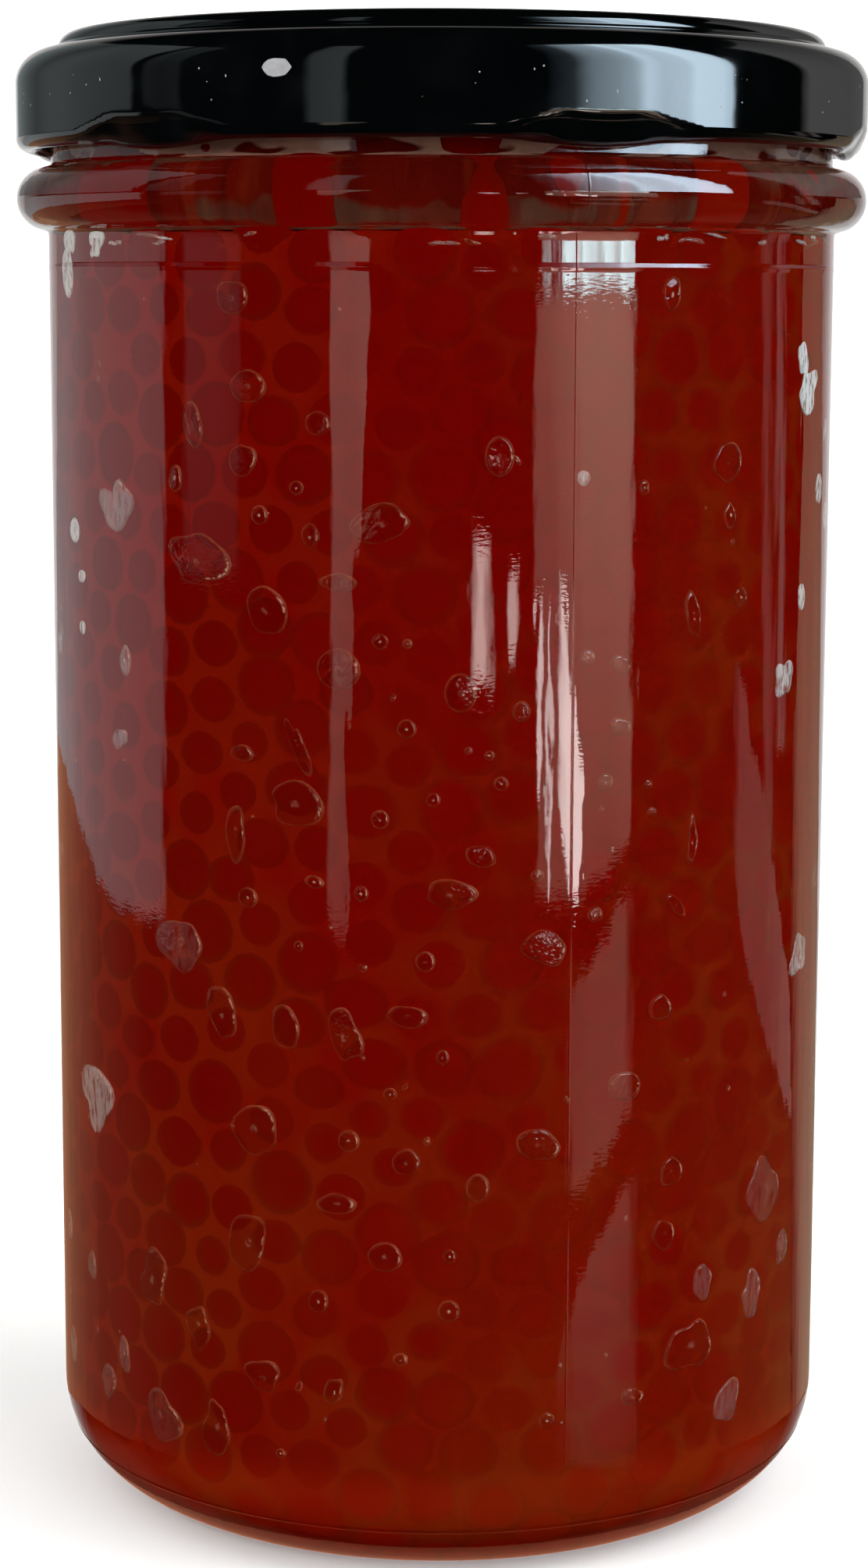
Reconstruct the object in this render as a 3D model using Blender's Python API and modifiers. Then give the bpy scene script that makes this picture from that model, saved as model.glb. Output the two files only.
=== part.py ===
"""A tall straight glass jar of roe, shut by a black twist-off lid.

Three sub-parts stand on one axis, the world's Z: the glass jar, the tinplate lid and the heap of
roe that fills the jar. The origin is the middle of the jar's foot, and the front faces -Y.
Lengths are in millimetres until MM turns them into metres.
"""

import math
import random

import bmesh
import bpy
from mathutils import Vector
from mathutils.geometry import delaunay_2d_cdt

MM = 0.001

# Driving dimensions.
BODY_RADIUS = 39.6
TOTAL_HEIGHT = 148.0
WALL = 2.4
FIT_GAP = 0.3
SEGMENTS = 48

# The jar's foot and floor.
HEEL_RADIUS = 10.0
FOOT_RING_WIDTH = 5.0
PUNT_STEP = 2.0
PUNT_EDGE_HEIGHT = 0.8
PUNT_HEIGHT = 1.6
FLOOR_HEIGHT = 4.2
FLOOR_FILLET = 6.0

# The jar's finish, which the lid grips.
NECK_RADIUS = 39.3
NECK_WALL = 2.9
BEAD_HEIGHT = 131.9
BEAD_SECTION = 3.1
BEAD_SWEEP_DEG = 80.0
THROAT_START = 127.0
THROAT_END = 131.0

# The lid, a pressed tinplate cap.
LID_RADIUS = 42.65
LID_SHEET = 0.4
SHOULDER_HEIGHT = 146.3
SHOULDER_RADIUS = 3.2
CREASE_RADIUS = 38.7
RING_RADIUS = 37.0
RING_SECTION = 1.4
PANEL_RADIUS = 35.0
PANEL_HEIGHT = 147.0
CURL_SECTION = 1.2
CURL_LOW = 136.5
CURL_SWEEP_DEG = 250.0

# The six lugs pressed into the lid's curl.
LUG_COUNT = 6
LUG_FIRST_DEG = 17.0
LUG_HALF_WIDTH_DEG = 13.0
LUG_DROP = 0.7
LUG_DENT = 0.45
LUG_FADE_HEIGHT = 5.5

# The roe, whose bumps are whole eggs.
EGG_PITCH = 5.8
EGG_RELIEF = 1.2
EGG_UNEVENNESS = 0.35
ROE_TOP = 143.2
ROE_TOP_FILLET = 4.0
ROE_SEED = 11

GLASS_COLOUR = (0.72, 0.76, 0.72)
LACQUER_COLOUR = (0.008, 0.009, 0.011)
ROE_COLOUR = (0.16, 0.008, 0.001)


def clear_scene():
    """Remove every object that is already there."""
    for thing in list(bpy.data.objects):
        bpy.data.objects.remove(thing, do_unlink=True)


def new_collection(name):
    """Return a new collection in the scene."""
    collection = bpy.data.collections.new(name)
    bpy.context.scene.collection.children.link(collection)
    return collection


def finish(name, colour, roughness, metallic=0.0, transmission=0.0):
    """Return a Principled material."""
    material = bpy.data.materials.new(name)
    material.use_nodes = True
    shader = material.node_tree.nodes["Principled BSDF"]
    shader.inputs["Base Color"].default_value = (*colour, 1.0)
    shader.inputs["Roughness"].default_value = roughness
    shader.inputs["Metallic"].default_value = metallic
    shader.inputs["Transmission Weight"].default_value = transmission
    return material


def arc(centre, radius, start_deg, end_deg, steps):
    """Points (r, z) on an arc in the profile plane, both ends included."""
    points = []
    for step in range(steps + 1):
        angle = math.radians(start_deg + (end_deg - start_deg) * step / steps)
        points.append((centre[0] + radius * math.cos(angle), centre[1] + radius * math.sin(angle)))
    return points


def add_object(name, mesh, material, collection):
    """Put a mesh in the collection as a named object with one smooth-shaded material."""
    thing = bpy.data.objects.new(name, mesh)
    collection.objects.link(thing)
    mesh.materials.clear()
    mesh.materials.append(material)
    mesh.shade_smooth()
    mesh.set_sharp_from_angle(angle=math.radians(35.0))
    return thing


def turned(name, profile, material, collection):
    """Turn an open profile of (r, z) points about Z with a Screw modifier."""
    mesh = bpy.data.meshes.new(name)
    vertices = [(r * MM, 0.0, z * MM) for r, z in profile]
    mesh.from_pydata(vertices, [(i, i + 1) for i in range(len(vertices) - 1)], [])
    thing = add_object(name, mesh, material, collection)
    screw = thing.modifiers.new("Turn", "SCREW")
    screw.axis = "Z"
    screw.steps = SEGMENTS
    screw.render_steps = SEGMENTS
    screw.use_merge_vertices = True
    screw.merge_threshold = 0.00001
    screw.use_smooth_shade = True
    return thing


def with_modifiers_applied(thing):
    """Replace an object's mesh by its evaluated mesh, and drop its modifiers."""
    graph = bpy.context.evaluated_depsgraph_get()
    mesh = bpy.data.meshes.new_from_object(thing.evaluated_get(graph))
    thing.modifiers.clear()
    thing.data = mesh
    return thing


def inner_floor_arc(clearance, steps):
    """The round between the jar's floor and wall, drawn in from the glass by a clearance."""
    centre = (BODY_RADIUS - WALL - FLOOR_FILLET, FLOOR_HEIGHT + FLOOR_FILLET)
    return arc(centre, FLOOR_FILLET - clearance, -90.0, 0.0, steps)


def jar_profile():
    """The glass from the middle of the floor, up inside, over the rim and down to the foot."""
    bore = NECK_RADIUS - NECK_WALL
    rim_section = NECK_WALL / 2.0
    rim_centre = (NECK_RADIUS - rim_section, SHOULDER_HEIGHT - LID_SHEET - 2 * FIT_GAP - rim_section)
    heel_centre = (BODY_RADIUS - HEEL_RADIUS, HEEL_RADIUS)
    foot_inner = heel_centre[0] - FOOT_RING_WIDTH
    inside = [(0.0, FLOOR_HEIGHT)]
    inside += inner_floor_arc(0.0, 3)
    inside += [(BODY_RADIUS - WALL, THROAT_START), (bore, THROAT_END)]
    rim = arc(rim_centre, rim_section, 180.0, 0.0, 3)
    bead = arc((BODY_RADIUS, BEAD_HEIGHT), BEAD_SECTION, BEAD_SWEEP_DEG, -BEAD_SWEEP_DEG, 6)
    bead_top = [(NECK_RADIUS, BEAD_HEIGHT + BEAD_SECTION + 0.5)]
    bead_foot = [(BODY_RADIUS, BEAD_HEIGHT - BEAD_SECTION - 0.4)]
    heel = arc(heel_centre, HEEL_RADIUS, 0.0, -90.0, 4)
    foot = [
        (foot_inner, 0.0),
        (foot_inner - PUNT_STEP, PUNT_EDGE_HEIGHT),
        (0.0, PUNT_HEIGHT),
    ]
    return inside + rim + bead_top + bead + bead_foot + heel + foot


def lid_profile():
    """The lid's outer skin from the middle of its panel, over the shoulder and round the curl."""
    ring_centre = (RING_RADIUS, TOTAL_HEIGHT - RING_SECTION)
    panel = [(0.0, PANEL_HEIGHT), (PANEL_RADIUS, PANEL_HEIGHT)]
    ring = arc(ring_centre, RING_SECTION, 135.0, 0.0, 3)
    crease = [(CREASE_RADIUS, SHOULDER_HEIGHT)]
    shoulder_centre = (LID_RADIUS - SHOULDER_RADIUS, SHOULDER_HEIGHT - SHOULDER_RADIUS)
    shoulder = arc(shoulder_centre, SHOULDER_RADIUS, 80.0, 0.0, 3)
    skirt_middle = [(LID_RADIUS, (shoulder_centre[1] + CURL_LOW + CURL_SECTION) / 2.0)]
    curl_centre = (LID_RADIUS - CURL_SECTION, CURL_LOW + CURL_SECTION)
    curl = arc(curl_centre, CURL_SECTION, 0.0, -CURL_SWEEP_DEG, 5)
    return panel + ring + crease + shoulder + skirt_middle + curl


def lug_weight(x, y):
    """How far a point round the lid belongs to a lug, from 0 between lugs to 1 at a lug."""
    from_front = math.degrees(math.atan2(x, -y)) - LUG_FIRST_DEG
    pitch = 360.0 / LUG_COUNT
    off_lug = abs((from_front + pitch / 2.0) % pitch - pitch / 2.0)
    if off_lug >= LUG_HALF_WIDTH_DEG:
        return 0.0
    return 0.5 + 0.5 * math.cos(math.pi * off_lug / LUG_HALF_WIDTH_DEG)


def press_lugs(thing):
    """Dent the skirt and drop the curl at each lug."""
    curl_top = CURL_LOW + 2 * CURL_SECTION
    for vertex in thing.data.vertices:
        x, y, z = vertex.co / MM
        radius = math.hypot(x, y)
        if radius < LID_RADIUS - SHOULDER_RADIUS:
            continue
        weight = lug_weight(x, y)
        fade = min(1.0, max(0.0, (curl_top + LUG_FADE_HEIGHT - z) / LUG_FADE_HEIGHT))
        low = min(1.0, max(0.0, (curl_top + 1.0 - z) / CURL_SECTION))
        inward = 1.0 - LUG_DENT * weight * fade / radius
        vertex.co = Vector((x * inward, y * inward, z - LUG_DROP * weight * low)) * MM


def along(path, distance):
    """The point at a distance along a path of (r, z) points, and the path's direction there."""
    left = distance
    for (r0, z0), (r1, z1) in zip(path, path[1:]):
        length = math.hypot(r1 - r0, z1 - z0)
        if left <= length or (r1, z1) == path[-1]:
            share = min(1.0, left / length)
            return r0 + (r1 - r0) * share, z0 + (z1 - z0) * share, (r1 - r0) / length, (z1 - z0) / length
        left -= length
    raise ValueError("the path is shorter than the distance")


def roe_path():
    """The heap's outline from the floor's edge up the wall and over at the top."""
    bore = NECK_RADIUS - NECK_WALL - FIT_GAP
    top_centre = (bore - ROE_TOP_FILLET, ROE_TOP - ROE_TOP_FILLET)
    side = [(BODY_RADIUS - WALL - FIT_GAP, THROAT_START - 1.0), (bore, THROAT_END - 1.0)]
    return inner_floor_arc(FIT_GAP, 6) + side + arc(top_centre, ROE_TOP_FILLET, 0.0, 90.0, 4)


def sinking(column, row, rng):
    """How deep a lattice point lies: every third one is an egg's crown, the rest lie between eggs."""
    crown = (column - (row - row % 2) // 2 - row) % 3 == 0
    return rng.uniform(0.0, EGG_UNEVENNESS) + (0.0 if crown else EGG_RELIEF)


def side_rings(rng):
    """Rings of points up the heap's side, on a triangular lattice with an egg at every third."""
    path = roe_path()
    length = sum(math.dist(a, b) for a, b in zip(path, path[1:]))
    spacing = EGG_PITCH / math.sqrt(3.0)
    columns = 3 * round(2.0 * math.pi * (BODY_RADIUS - WALL) / spacing / 3.0)
    rows = round(length / (EGG_PITCH / 2.0))
    rings = []
    for row in range(rows + 1):
        r, z, dr, dz = along(path, length * row / rows)
        ring = []
        for column in range(columns):
            depth = sinking(column, row, rng)
            angle = 2.0 * math.pi * (column + (row % 2) / 2.0) / columns
            radius = r - dz * depth
            ring.append(Vector((radius * math.cos(angle), radius * math.sin(angle), z + dr * depth)))
        rings.append(ring)
    return rings


def end_cap(bm, ring, height, into, rng):
    """Close one end of the heap with a disc of eggs that meets the ring."""
    spacing = EGG_PITCH / math.sqrt(3.0)
    limit = min(point.xy.length for point in ring) - spacing * 0.7
    flat = [point.xy.copy() for point in ring]
    heights = [point.z for point in ring]
    reach = int(limit / spacing) + 2
    for row in range(-reach, reach + 1):
        for column in range(-2 * reach, 2 * reach + 1):
            point = Vector(((column + (row % 2) / 2.0) * spacing, row * EGG_PITCH / 2.0))
            if point.length < limit:
                flat.append(point)
                heights.append(height + into * sinking(column, row, rng))
    outline = list(range(len(ring)))
    places, _, faces, origins, _, _ = delaunay_2d_cdt(flat, [], [outline], 1, 1e-6)
    made = [
        bm.verts.new((place.x * MM, place.y * MM, heights[origin[0]] * MM))
        for place, origin in zip(places, origins)
    ]
    for face in faces:
        bm.faces.new([made[i] for i in face])


def roe_mesh():
    """The heap: eggs pressed against the glass all round, on the floor and at the top."""
    rng = random.Random(ROE_SEED)
    rings = side_rings(rng)
    bm = bmesh.new()
    rows = [[bm.verts.new(point * MM) for point in ring] for ring in rings]
    for row, (low, high) in enumerate(zip(rows, rows[1:])):
        for i, here in enumerate(low):
            after = (i + 1) % len(low)
            if row % 2:
                bm.faces.new((here, low[after], high[after]))
                bm.faces.new((here, high[after], high[i]))
            else:
                bm.faces.new((here, low[after], high[i]))
                bm.faces.new((low[after], high[after], high[i]))
    end_cap(bm, rings[0], FLOOR_HEIGHT + FIT_GAP, 1.0, rng)
    end_cap(bm, rings[-1], ROE_TOP, -1.0, rng)
    bmesh.ops.remove_doubles(bm, verts=bm.verts, dist=0.00001)
    bmesh.ops.recalc_face_normals(bm, faces=bm.faces)
    mesh = bpy.data.meshes.new("roe")
    bm.to_mesh(mesh)
    bm.free()
    return mesh


def make_glass_jar(collection):
    """The jar: one turned piece of clear glass with a bead under its neck and a punt in its foot."""
    glass = finish("clear_glass", GLASS_COLOUR, 0.03, transmission=1.0)
    return turned("glass_jar", jar_profile(), glass, collection)


def make_lid(collection):
    """The lid: thin sheet with a raised ring, a round shoulder, a rolled curl and six lugs."""
    lacquer = finish("black_lacquer", LACQUER_COLOUR, 0.12)
    lid = turned("lid", lid_profile(), lacquer, collection)
    sheet = lid.modifiers.new("Sheet", "SOLIDIFY")
    sheet.thickness = LID_SHEET * MM
    sheet.offset = -1.0
    with_modifiers_applied(lid)
    press_lugs(lid)
    return lid


def make_roe(collection):
    """The roe: one heap with a bump for each egg that shows."""
    eggs = finish("salmon_roe", ROE_COLOUR, 0.2)
    return add_object("roe", roe_mesh(), eggs, collection)


def main():
    """Build the jar, its lid and its contents."""
    clear_scene()
    collection = new_collection("jar_of_roe")
    make_glass_jar(collection)
    make_lid(collection)
    make_roe(collection)


main()
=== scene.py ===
"""The looks of a tall glass jar of red roe under a black twist-off lid.

Lengths are in millimetres in the classes' fields, and MM turns them into the frame's metres.
The jar stands on its foot at the origin, its axis is Z, and its front faces -Y. An angle round
the jar is counted from the front, and grows towards +X.
"""

from __future__ import annotations

import logging
import math
import random
from dataclasses import dataclass
from enum import IntEnum
from typing import Callable, Iterable, Sequence

import bpy
import numpy as np
from mathutils import Matrix, Vector

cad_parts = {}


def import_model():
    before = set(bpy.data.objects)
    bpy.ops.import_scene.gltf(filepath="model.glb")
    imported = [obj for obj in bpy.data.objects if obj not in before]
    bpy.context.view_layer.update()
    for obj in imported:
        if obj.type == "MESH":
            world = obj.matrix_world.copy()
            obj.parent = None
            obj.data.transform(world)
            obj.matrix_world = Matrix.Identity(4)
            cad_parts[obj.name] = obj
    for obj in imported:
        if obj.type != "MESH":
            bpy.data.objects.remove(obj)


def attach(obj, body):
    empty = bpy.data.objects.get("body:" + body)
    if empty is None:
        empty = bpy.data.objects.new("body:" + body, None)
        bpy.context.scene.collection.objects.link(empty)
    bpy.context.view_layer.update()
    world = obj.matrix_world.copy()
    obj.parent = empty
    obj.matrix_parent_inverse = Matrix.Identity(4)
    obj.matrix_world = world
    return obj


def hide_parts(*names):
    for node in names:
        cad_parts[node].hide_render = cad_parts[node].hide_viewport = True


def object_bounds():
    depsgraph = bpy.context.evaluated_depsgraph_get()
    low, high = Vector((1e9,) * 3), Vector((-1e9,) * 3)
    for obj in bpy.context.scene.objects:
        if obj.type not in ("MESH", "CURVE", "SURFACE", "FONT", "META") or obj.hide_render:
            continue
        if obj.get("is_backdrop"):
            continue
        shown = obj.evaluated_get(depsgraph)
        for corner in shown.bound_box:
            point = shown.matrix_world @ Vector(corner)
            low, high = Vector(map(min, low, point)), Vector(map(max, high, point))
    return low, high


MM = 0.001
FRAME_WIDTH_PX = 1112
FRAME_HEIGHT_PX = 2009
GLASS_INDEX = 1.5

LOG = logging.getLogger("jar_of_roe")

Point = tuple[float, float]
Colour = tuple[float, float, float]
Point3 = tuple[float, float, float]


# ---- shader maths


@dataclass(frozen=True)
class Lumps:
    """A noise pattern.

    Its size is how far across a lump is, in millimetres. Its stretch is how many times longer a
    lump is across the jar, and up it. Its detail is how many finer layers it has.
    """

    size: float
    stretch: Point = (1.0, 1.0)
    detail: float = 2.0


class Term:
    """A shader number that adds Math nodes as it is used in an expression."""

    def __init__(self, graph: Graph, socket: bpy.types.NodeSocket) -> None:
        """Wrap a number socket of a graph."""
        self.graph = graph
        self.socket = socket

    def maths(self, operation: str, *values: Term | float) -> Term:
        """Return the result of one Math node, given its operation and inputs."""
        node = self.graph.add("ShaderNodeMath", {"operation": operation}, dict(enumerate(values)))
        return Term(self.graph, node.outputs[0])

    def __add__(self, other: Term | float) -> Term:
        """Return self + other."""
        return self.maths("ADD", self, other)

    def __sub__(self, other: Term | float) -> Term:
        """Return self - other."""
        return self.maths("SUBTRACT", self, other)

    def __rsub__(self, other: Term | float) -> Term:
        """Return other - self."""
        return self.maths("SUBTRACT", other, self)

    def __mul__(self, other: Term | float) -> Term:
        """Return self * other."""
        return self.maths("MULTIPLY", self, other)

    __radd__ = __add__
    __rmul__ = __mul__

    def at_most(self, other: Term | float) -> Term:
        """Return the smaller of the two."""
        return self.maths("MINIMUM", self, other)

    def at_least(self, other: Term | float) -> Term:
        """Return the larger of the two."""
        return self.maths("MAXIMUM", self, other)

    def spread(self, least: float, reach: float) -> Term:
        """Return least where self is 0, and that plus reach where it is 1."""
        return self * reach + least

    def stepped(self, shape: str, low: float, high: float) -> Term:
        """Return 0 up to low, 1 from high, and a step of a shape between them.

        Args:
            shape: The step's shape.
            low: Where it starts.
            high: Where it ends.

        Returns:
            The stepped term.
        """
        settings = {"interpolation_type": shape}
        node = self.graph.add("ShaderNodeMapRange", settings, {0: self, 1: low, 2: high})
        return Term(self.graph, node.outputs[0])

    def eased(self, low: float, high: float) -> Term:
        """Return 0 up to low, 1 from high, and a smooth step between them."""
        return self.stepped("SMOOTHSTEP", low, high)

    def ramped(self, low: float, high: float) -> Term:
        """Return 0 up to low, 1 from high, and a straight rise between them."""
        return self.stepped("LINEAR", low, high)


class NodeTree:
    """A node tree, built by one call for each node."""

    def __init__(self, tree: bpy.types.NodeTree) -> None:
        """Wrap a tree."""
        self.tree = tree

    def add(
        self, kind: str, settings: dict | None = None, inputs: dict | None = None
    ) -> bpy.types.Node:
        """Add one node.

        Args:
            kind: The node's type.
            settings: Its properties, with a ramp's stops under "stops".
            inputs: Values or links of its sockets, by name or by place.

        Returns:
            The new node.
        """
        node = self.tree.nodes.new(kind)
        for key, value in (settings or {}).items():
            if key == "stops":
                self.set_stops(node, value)
            else:
                setattr(node, key, value)
        for key, value in (inputs or {}).items():
            self.feed(node.inputs[key], value)
        return node

    @staticmethod
    def set_stops(node: bpy.types.Node, stops: Sequence[tuple[float, Colour]]) -> None:
        """Give a ramp its stops.

        Args:
            node: The ramp's node.
            stops: Each stop's position and colour.
        """
        elements = node.color_ramp.elements
        while len(elements) < len(stops):
            elements.new(1.0)
        for element, (position, colour) in zip(elements, stops):
            element.position = position
            element.color = (*colour, 1.0)

    def feed(self, socket: bpy.types.NodeSocket, value: object) -> None:
        """Link a socket, or set its value.

        Args:
            socket: An input of a node.
            value: A term, a node or another socket to link it to, or a plain value.
        """
        if isinstance(value, Term):
            self.tree.links.new(value.socket, socket)
        elif isinstance(value, bpy.types.Node):
            self.tree.links.new(value.outputs[0], socket)
        elif isinstance(value, bpy.types.NodeSocket):
            self.tree.links.new(value, socket)
        elif isinstance(value, tuple) and socket.type == "RGBA":
            socket.default_value = (*value, 1.0)
        else:
            socket.default_value = value


class Graph(NodeTree):
    """The shader nodes of a material or of the world."""

    def __init__(self, owner: bpy.types.Material | bpy.types.World) -> None:
        """Start with no nodes.

        Args:
            owner: The material or world.
        """
        owner.use_nodes = True
        owner.node_tree.nodes.clear()
        super().__init__(owner.node_tree)
        self.owner = owner

    @classmethod
    def named(cls, name: str) -> Graph:
        """Return the graph of a new material."""
        return cls(bpy.data.materials.new(name))

    def place(self) -> bpy.types.NodeSocket:
        """Return the point on the piece, in Object coordinates."""
        return self.add("ShaderNodeTexCoord").outputs["Object"]

    def axes(self) -> tuple[Term, Term, Term]:
        """Return the point's x, y and z in millimetres.

        Returns:
            X, Y and Z.
        """
        parts = self.add("ShaderNodeSeparateXYZ", inputs={0: self.place()})
        x, y, z = (Term(self, socket) * (1.0 / MM) for socket in parts.outputs)
        return x, y, z

    def noise(self, lumps: Lumps) -> Term:
        """Return a noise pattern, from 0 to 1.

        Args:
            lumps: How large and how fine the pattern is.

        Returns:
            The pattern.
        """
        across, up = lumps.stretch
        scale = (1.0 / across, 1.0 / across, 1.0 / up)
        mapped = self.add("ShaderNodeMapping", inputs={"Vector": self.place(), "Scale": scale})
        sizes = {"Vector": mapped, "Scale": 1.0 / (lumps.size * MM), "Detail": lumps.detail}
        return Term(self, self.add("ShaderNodeTexNoise", inputs=sizes).outputs[0])

    def attribute(self, name: str) -> Term:
        """Return a number that the mesh holds at each vertex."""
        node = self.add("ShaderNodeAttribute", {"attribute_name": name})
        return Term(self, node.outputs["Fac"])

    def ray_is(self, kind: str) -> Term:
        """Return 1 for a ray of a kind, such as "Shadow", and 0 for any other."""
        return Term(self, self.add("ShaderNodeLightPath").outputs[f"Is {kind} Ray"])

    def mixed(self, share: Term | float, first: object, second: object) -> bpy.types.NodeSocket:
        """Return a colour between two colours."""
        node = self.add("ShaderNodeMix", {"data_type": "RGBA"}, {0: share, 6: first, 7: second})
        return node.outputs[2]

    def shaded(self, share: Term | float, colour: Colour, shade: float) -> bpy.types.NodeSocket:
        """Return a colour that turns to a darker or paler shade of itself by a share."""
        return self.mixed(share, colour, tuple(shade * part for part in colour))

    def lit(self, colour: object, light: Term) -> bpy.types.Node:
        """Return a colour made paler or darker by a factor."""
        return self.add("ShaderNodeVectorMath", {"operation": "SCALE"}, {0: colour, "Scale": light})

    def bump(self, height: Term, depth: float) -> bpy.types.Node:
        """Return a Bump node for a height from 0 to 1 over a depth in millimetres."""
        return self.add("ShaderNodeBump", inputs={"Height": height, "Distance": depth * MM})

    def surface(self, inputs: dict[str, object]) -> bpy.types.Node:
        """Return a Principled surface."""
        return self.add("ShaderNodeBsdfPrincipled", inputs=inputs)

    def matt(self, colour: object) -> bpy.types.Node:
        """Return a matt surface of a colour."""
        return self.surface({"Base Color": colour, "Roughness": 1.0, "Specular IOR Level": 0.0})

    def clear(self, tint: Colour = (1.0, 1.0, 1.0)) -> bpy.types.Node:
        """Return a see-through surface of a tint."""
        return self.add("ShaderNodeBsdfTransparent", inputs={"Color": tint})

    def either(self, share: Term | float, first: object, second: object) -> bpy.types.Node:
        """Return a Mix Shader of two shaders."""
        return self.add("ShaderNodeMixShader", inputs={0: share, 1: first, 2: second})

    def done(self, shader: bpy.types.Node) -> bpy.types.Material | bpy.types.World:
        """Link the finished shader to the output, and return what it belongs to.

        Args:
            shader: Its last node.

        Returns:
            The material or world.
        """
        kind = type(self.owner).__name__
        self.add(f"ShaderNodeOutput{kind}", inputs={"Surface": shader})
        return self.owner


# ---- finishes


@dataclass(frozen=True)
class ClearGlass:
    """Pressed bottle glass: clear, with faint upright ripples and one upright mould line."""

    tint: Colour = (0.97, 0.975, 0.965)
    relief: float = 0.05
    ripple: Lumps = Lumps(3.0, (1.0, 7.0))
    grain: Lumps = Lumps(0.9, (1.0, 2.0))
    grain_share: float = 0.05
    crinkle: Lumps = Lumps(0.7, (1.0, 0.4))
    crinkle_share: float = 0.035
    mould_line_deg: float = 18.0
    mould_line_width: float = 0.16
    mould_line_share: float = 0.25

    def material(self) -> bpy.types.Material:
        """Return the glass, which lets lamps through to what is behind it.

        Returns:
            The material.
        """
        graph = Graph.named("clear_glass")
        x, y, _ = graph.axes()
        line = math.radians(self.mould_line_deg)
        off_line = x * math.cos(line) + y * math.sin(line)
        ridge = 1.0 - off_line.maths("ABSOLUTE", off_line).eased(0.0, self.mould_line_width)
        grain = graph.noise(self.grain) * self.grain_share
        crinkle = graph.noise(self.crinkle) * self.crinkle_share
        relief = graph.noise(self.ripple) + grain + crinkle + ridge * self.mould_line_share
        glass = graph.surface(
            {
                "Base Color": self.tint,
                "Roughness": 0.0,
                "IOR": GLASS_INDEX,
                "Transmission Weight": 1.0,
                "Normal": graph.bump(relief, self.relief),
            }
        )
        return graph.done(graph.either(graph.ray_is("Shadow"), glass, graph.clear(self.tint)))


@dataclass(frozen=True)
class WettedGlass:
    """The glass where brine touches it, which leaves no surface to see."""

    def material(self) -> bpy.types.Material:
        """Return a fully clear surface."""
        graph = Graph.named("wetted_glass")
        return graph.done(graph.clear())


@dataclass(frozen=True)
class SmearedGlass:
    """The inside of the neck, above the brine, filmed over by what dried on it.

    Its band is wet all round, between two heights. Patches of it are wet elsewhere too, fewer of
    them below the band's top. A rise is counted up and down from there.
    """

    dry: Colour = (0.082, 0.026, 0.014)
    # Painted light: the dry film is made paler just under the lid, where the lid's shade darkens
    # it.
    high_dry: Colour = (0.37, 0.185, 0.13)
    high_rise: Point = (-0.2, 0.6)
    wet: Colour = (0.090, 0.0028, 0.0008)
    band: Point = (131.75, 133.6)
    band_blur: Point = (0.12, 0.1)
    wander: Lumps = Lumps(6.0, (1.0, 0.6), 3.0)
    wander_height: float = 1.6
    patch: Lumps = Lumps(5.5, (1.0, 0.45), 1.5)
    patch_range: Point = (0.50, 0.56)
    patch_rise: Point = (-0.2, 0.4)
    low_patch: float = 0.6
    mottle: Lumps = Lumps(2.2, (1.0, 0.5), 3.0)
    mottle_spread: Point = (0.55, 0.9)
    egg: float = 5.2
    egg_edge: Colour = (0.20, 0.016, 0.004)
    egg_line: Point = (0.015, 0.07)
    line_share: float = 0.35
    line_gap: Lumps = Lumps(6.0)
    line_gap_range: Point = (0.45, 0.6)
    thin: Lumps = Lumps(2.2)
    thin_range: Point = (0.3, 0.6)
    least: float = 0.86

    def wetness(self, graph: Graph, z: Term) -> Term:
        """Return 1 where roe still wets the glass and 0 where it is dry.

        Args:
            graph: The material.
            z: The height of the place.

        Returns:
            The share that is wet.
        """
        wander = graph.noise(self.wander).spread(-self.wander_height / 2.0, self.wander_height)
        low, high = self.band
        starts, ends = self.band_blur
        over = 1.0 - z.eased(high, high + ends)
        in_band = (z + wander).eased(low - starts, low + starts) * over
        patches = graph.noise(self.patch).eased(*self.patch_range)
        aloft = z.eased(*(high + rise for rise in self.patch_rise))
        return in_band.at_least(patches * aloft.spread(self.low_patch, 1.0 - self.low_patch))

    def egg_colour(self, graph: Graph) -> bpy.types.NodeSocket:
        """Return the colour of wet eggs, with broken lines between them.

        Args:
            graph: The material.

        Returns:
            The colour.
        """
        cells = graph.add(
            "ShaderNodeTexVoronoi",
            {"feature": "DISTANCE_TO_EDGE"},
            {"Vector": graph.place(), "Scale": 1.0 / (self.egg * MM)},
        )
        line = 1.0 - Term(graph, cells.outputs["Distance"]).eased(*self.egg_line)
        broken = line * graph.noise(self.line_gap).eased(*self.line_gap_range)
        return graph.mixed(broken * self.line_share, self.wet, self.egg_edge)

    def material(self) -> bpy.types.Material:
        """Return the film, grey where it dried, paler under the lid as painted light, and red where
        roe still wets it.

        Returns:
            The material.
        """
        graph = Graph.named("smeared_glass")
        _, _, z = graph.axes()
        # Painted light under the lid.
        aloft = z.eased(*(self.band[1] + rise for rise in self.high_rise))
        mottle = graph.noise(self.mottle).spread(*self.mottle_spread)
        dry = graph.lit(graph.mixed(aloft, self.dry, self.high_dry), mottle)
        colour = graph.mixed(self.wetness(graph, z), dry, self.egg_colour(graph))
        share = graph.noise(self.thin).eased(*self.thin_range).spread(self.least, 1.0 - self.least)
        return graph.done(graph.either(share, graph.clear(), graph.matt(colour)))


@dataclass(frozen=True)
class BlackLacquer:
    """Gloss black lacquer on pressed tinplate, with a faint orange peel."""

    colour: Colour = (0.0006, 0.0008, 0.0009)
    worn_shade: float = 2.0
    wear: Lumps = Lumps(5.0, detail=4.0)
    wear_range: Point = (0.45, 0.75)
    roughness: Point = (0.05, 0.05)
    peel: Lumps = Lumps(5.0)
    peel_depth: float = 0.02

    def material(self) -> bpy.types.Material:
        """Return the lacquer.

        Returns:
            The material.
        """
        graph = Graph.named("black_lacquer")
        wear = graph.noise(self.wear).eased(*self.wear_range)
        inputs = {
            "Base Color": graph.shaded(wear, self.colour, self.worn_shade),
            "Roughness": wear.spread(*self.roughness),
            "Normal": graph.bump(graph.noise(self.peel), self.peel_depth),
        }
        return graph.done(graph.surface(inputs))


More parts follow.
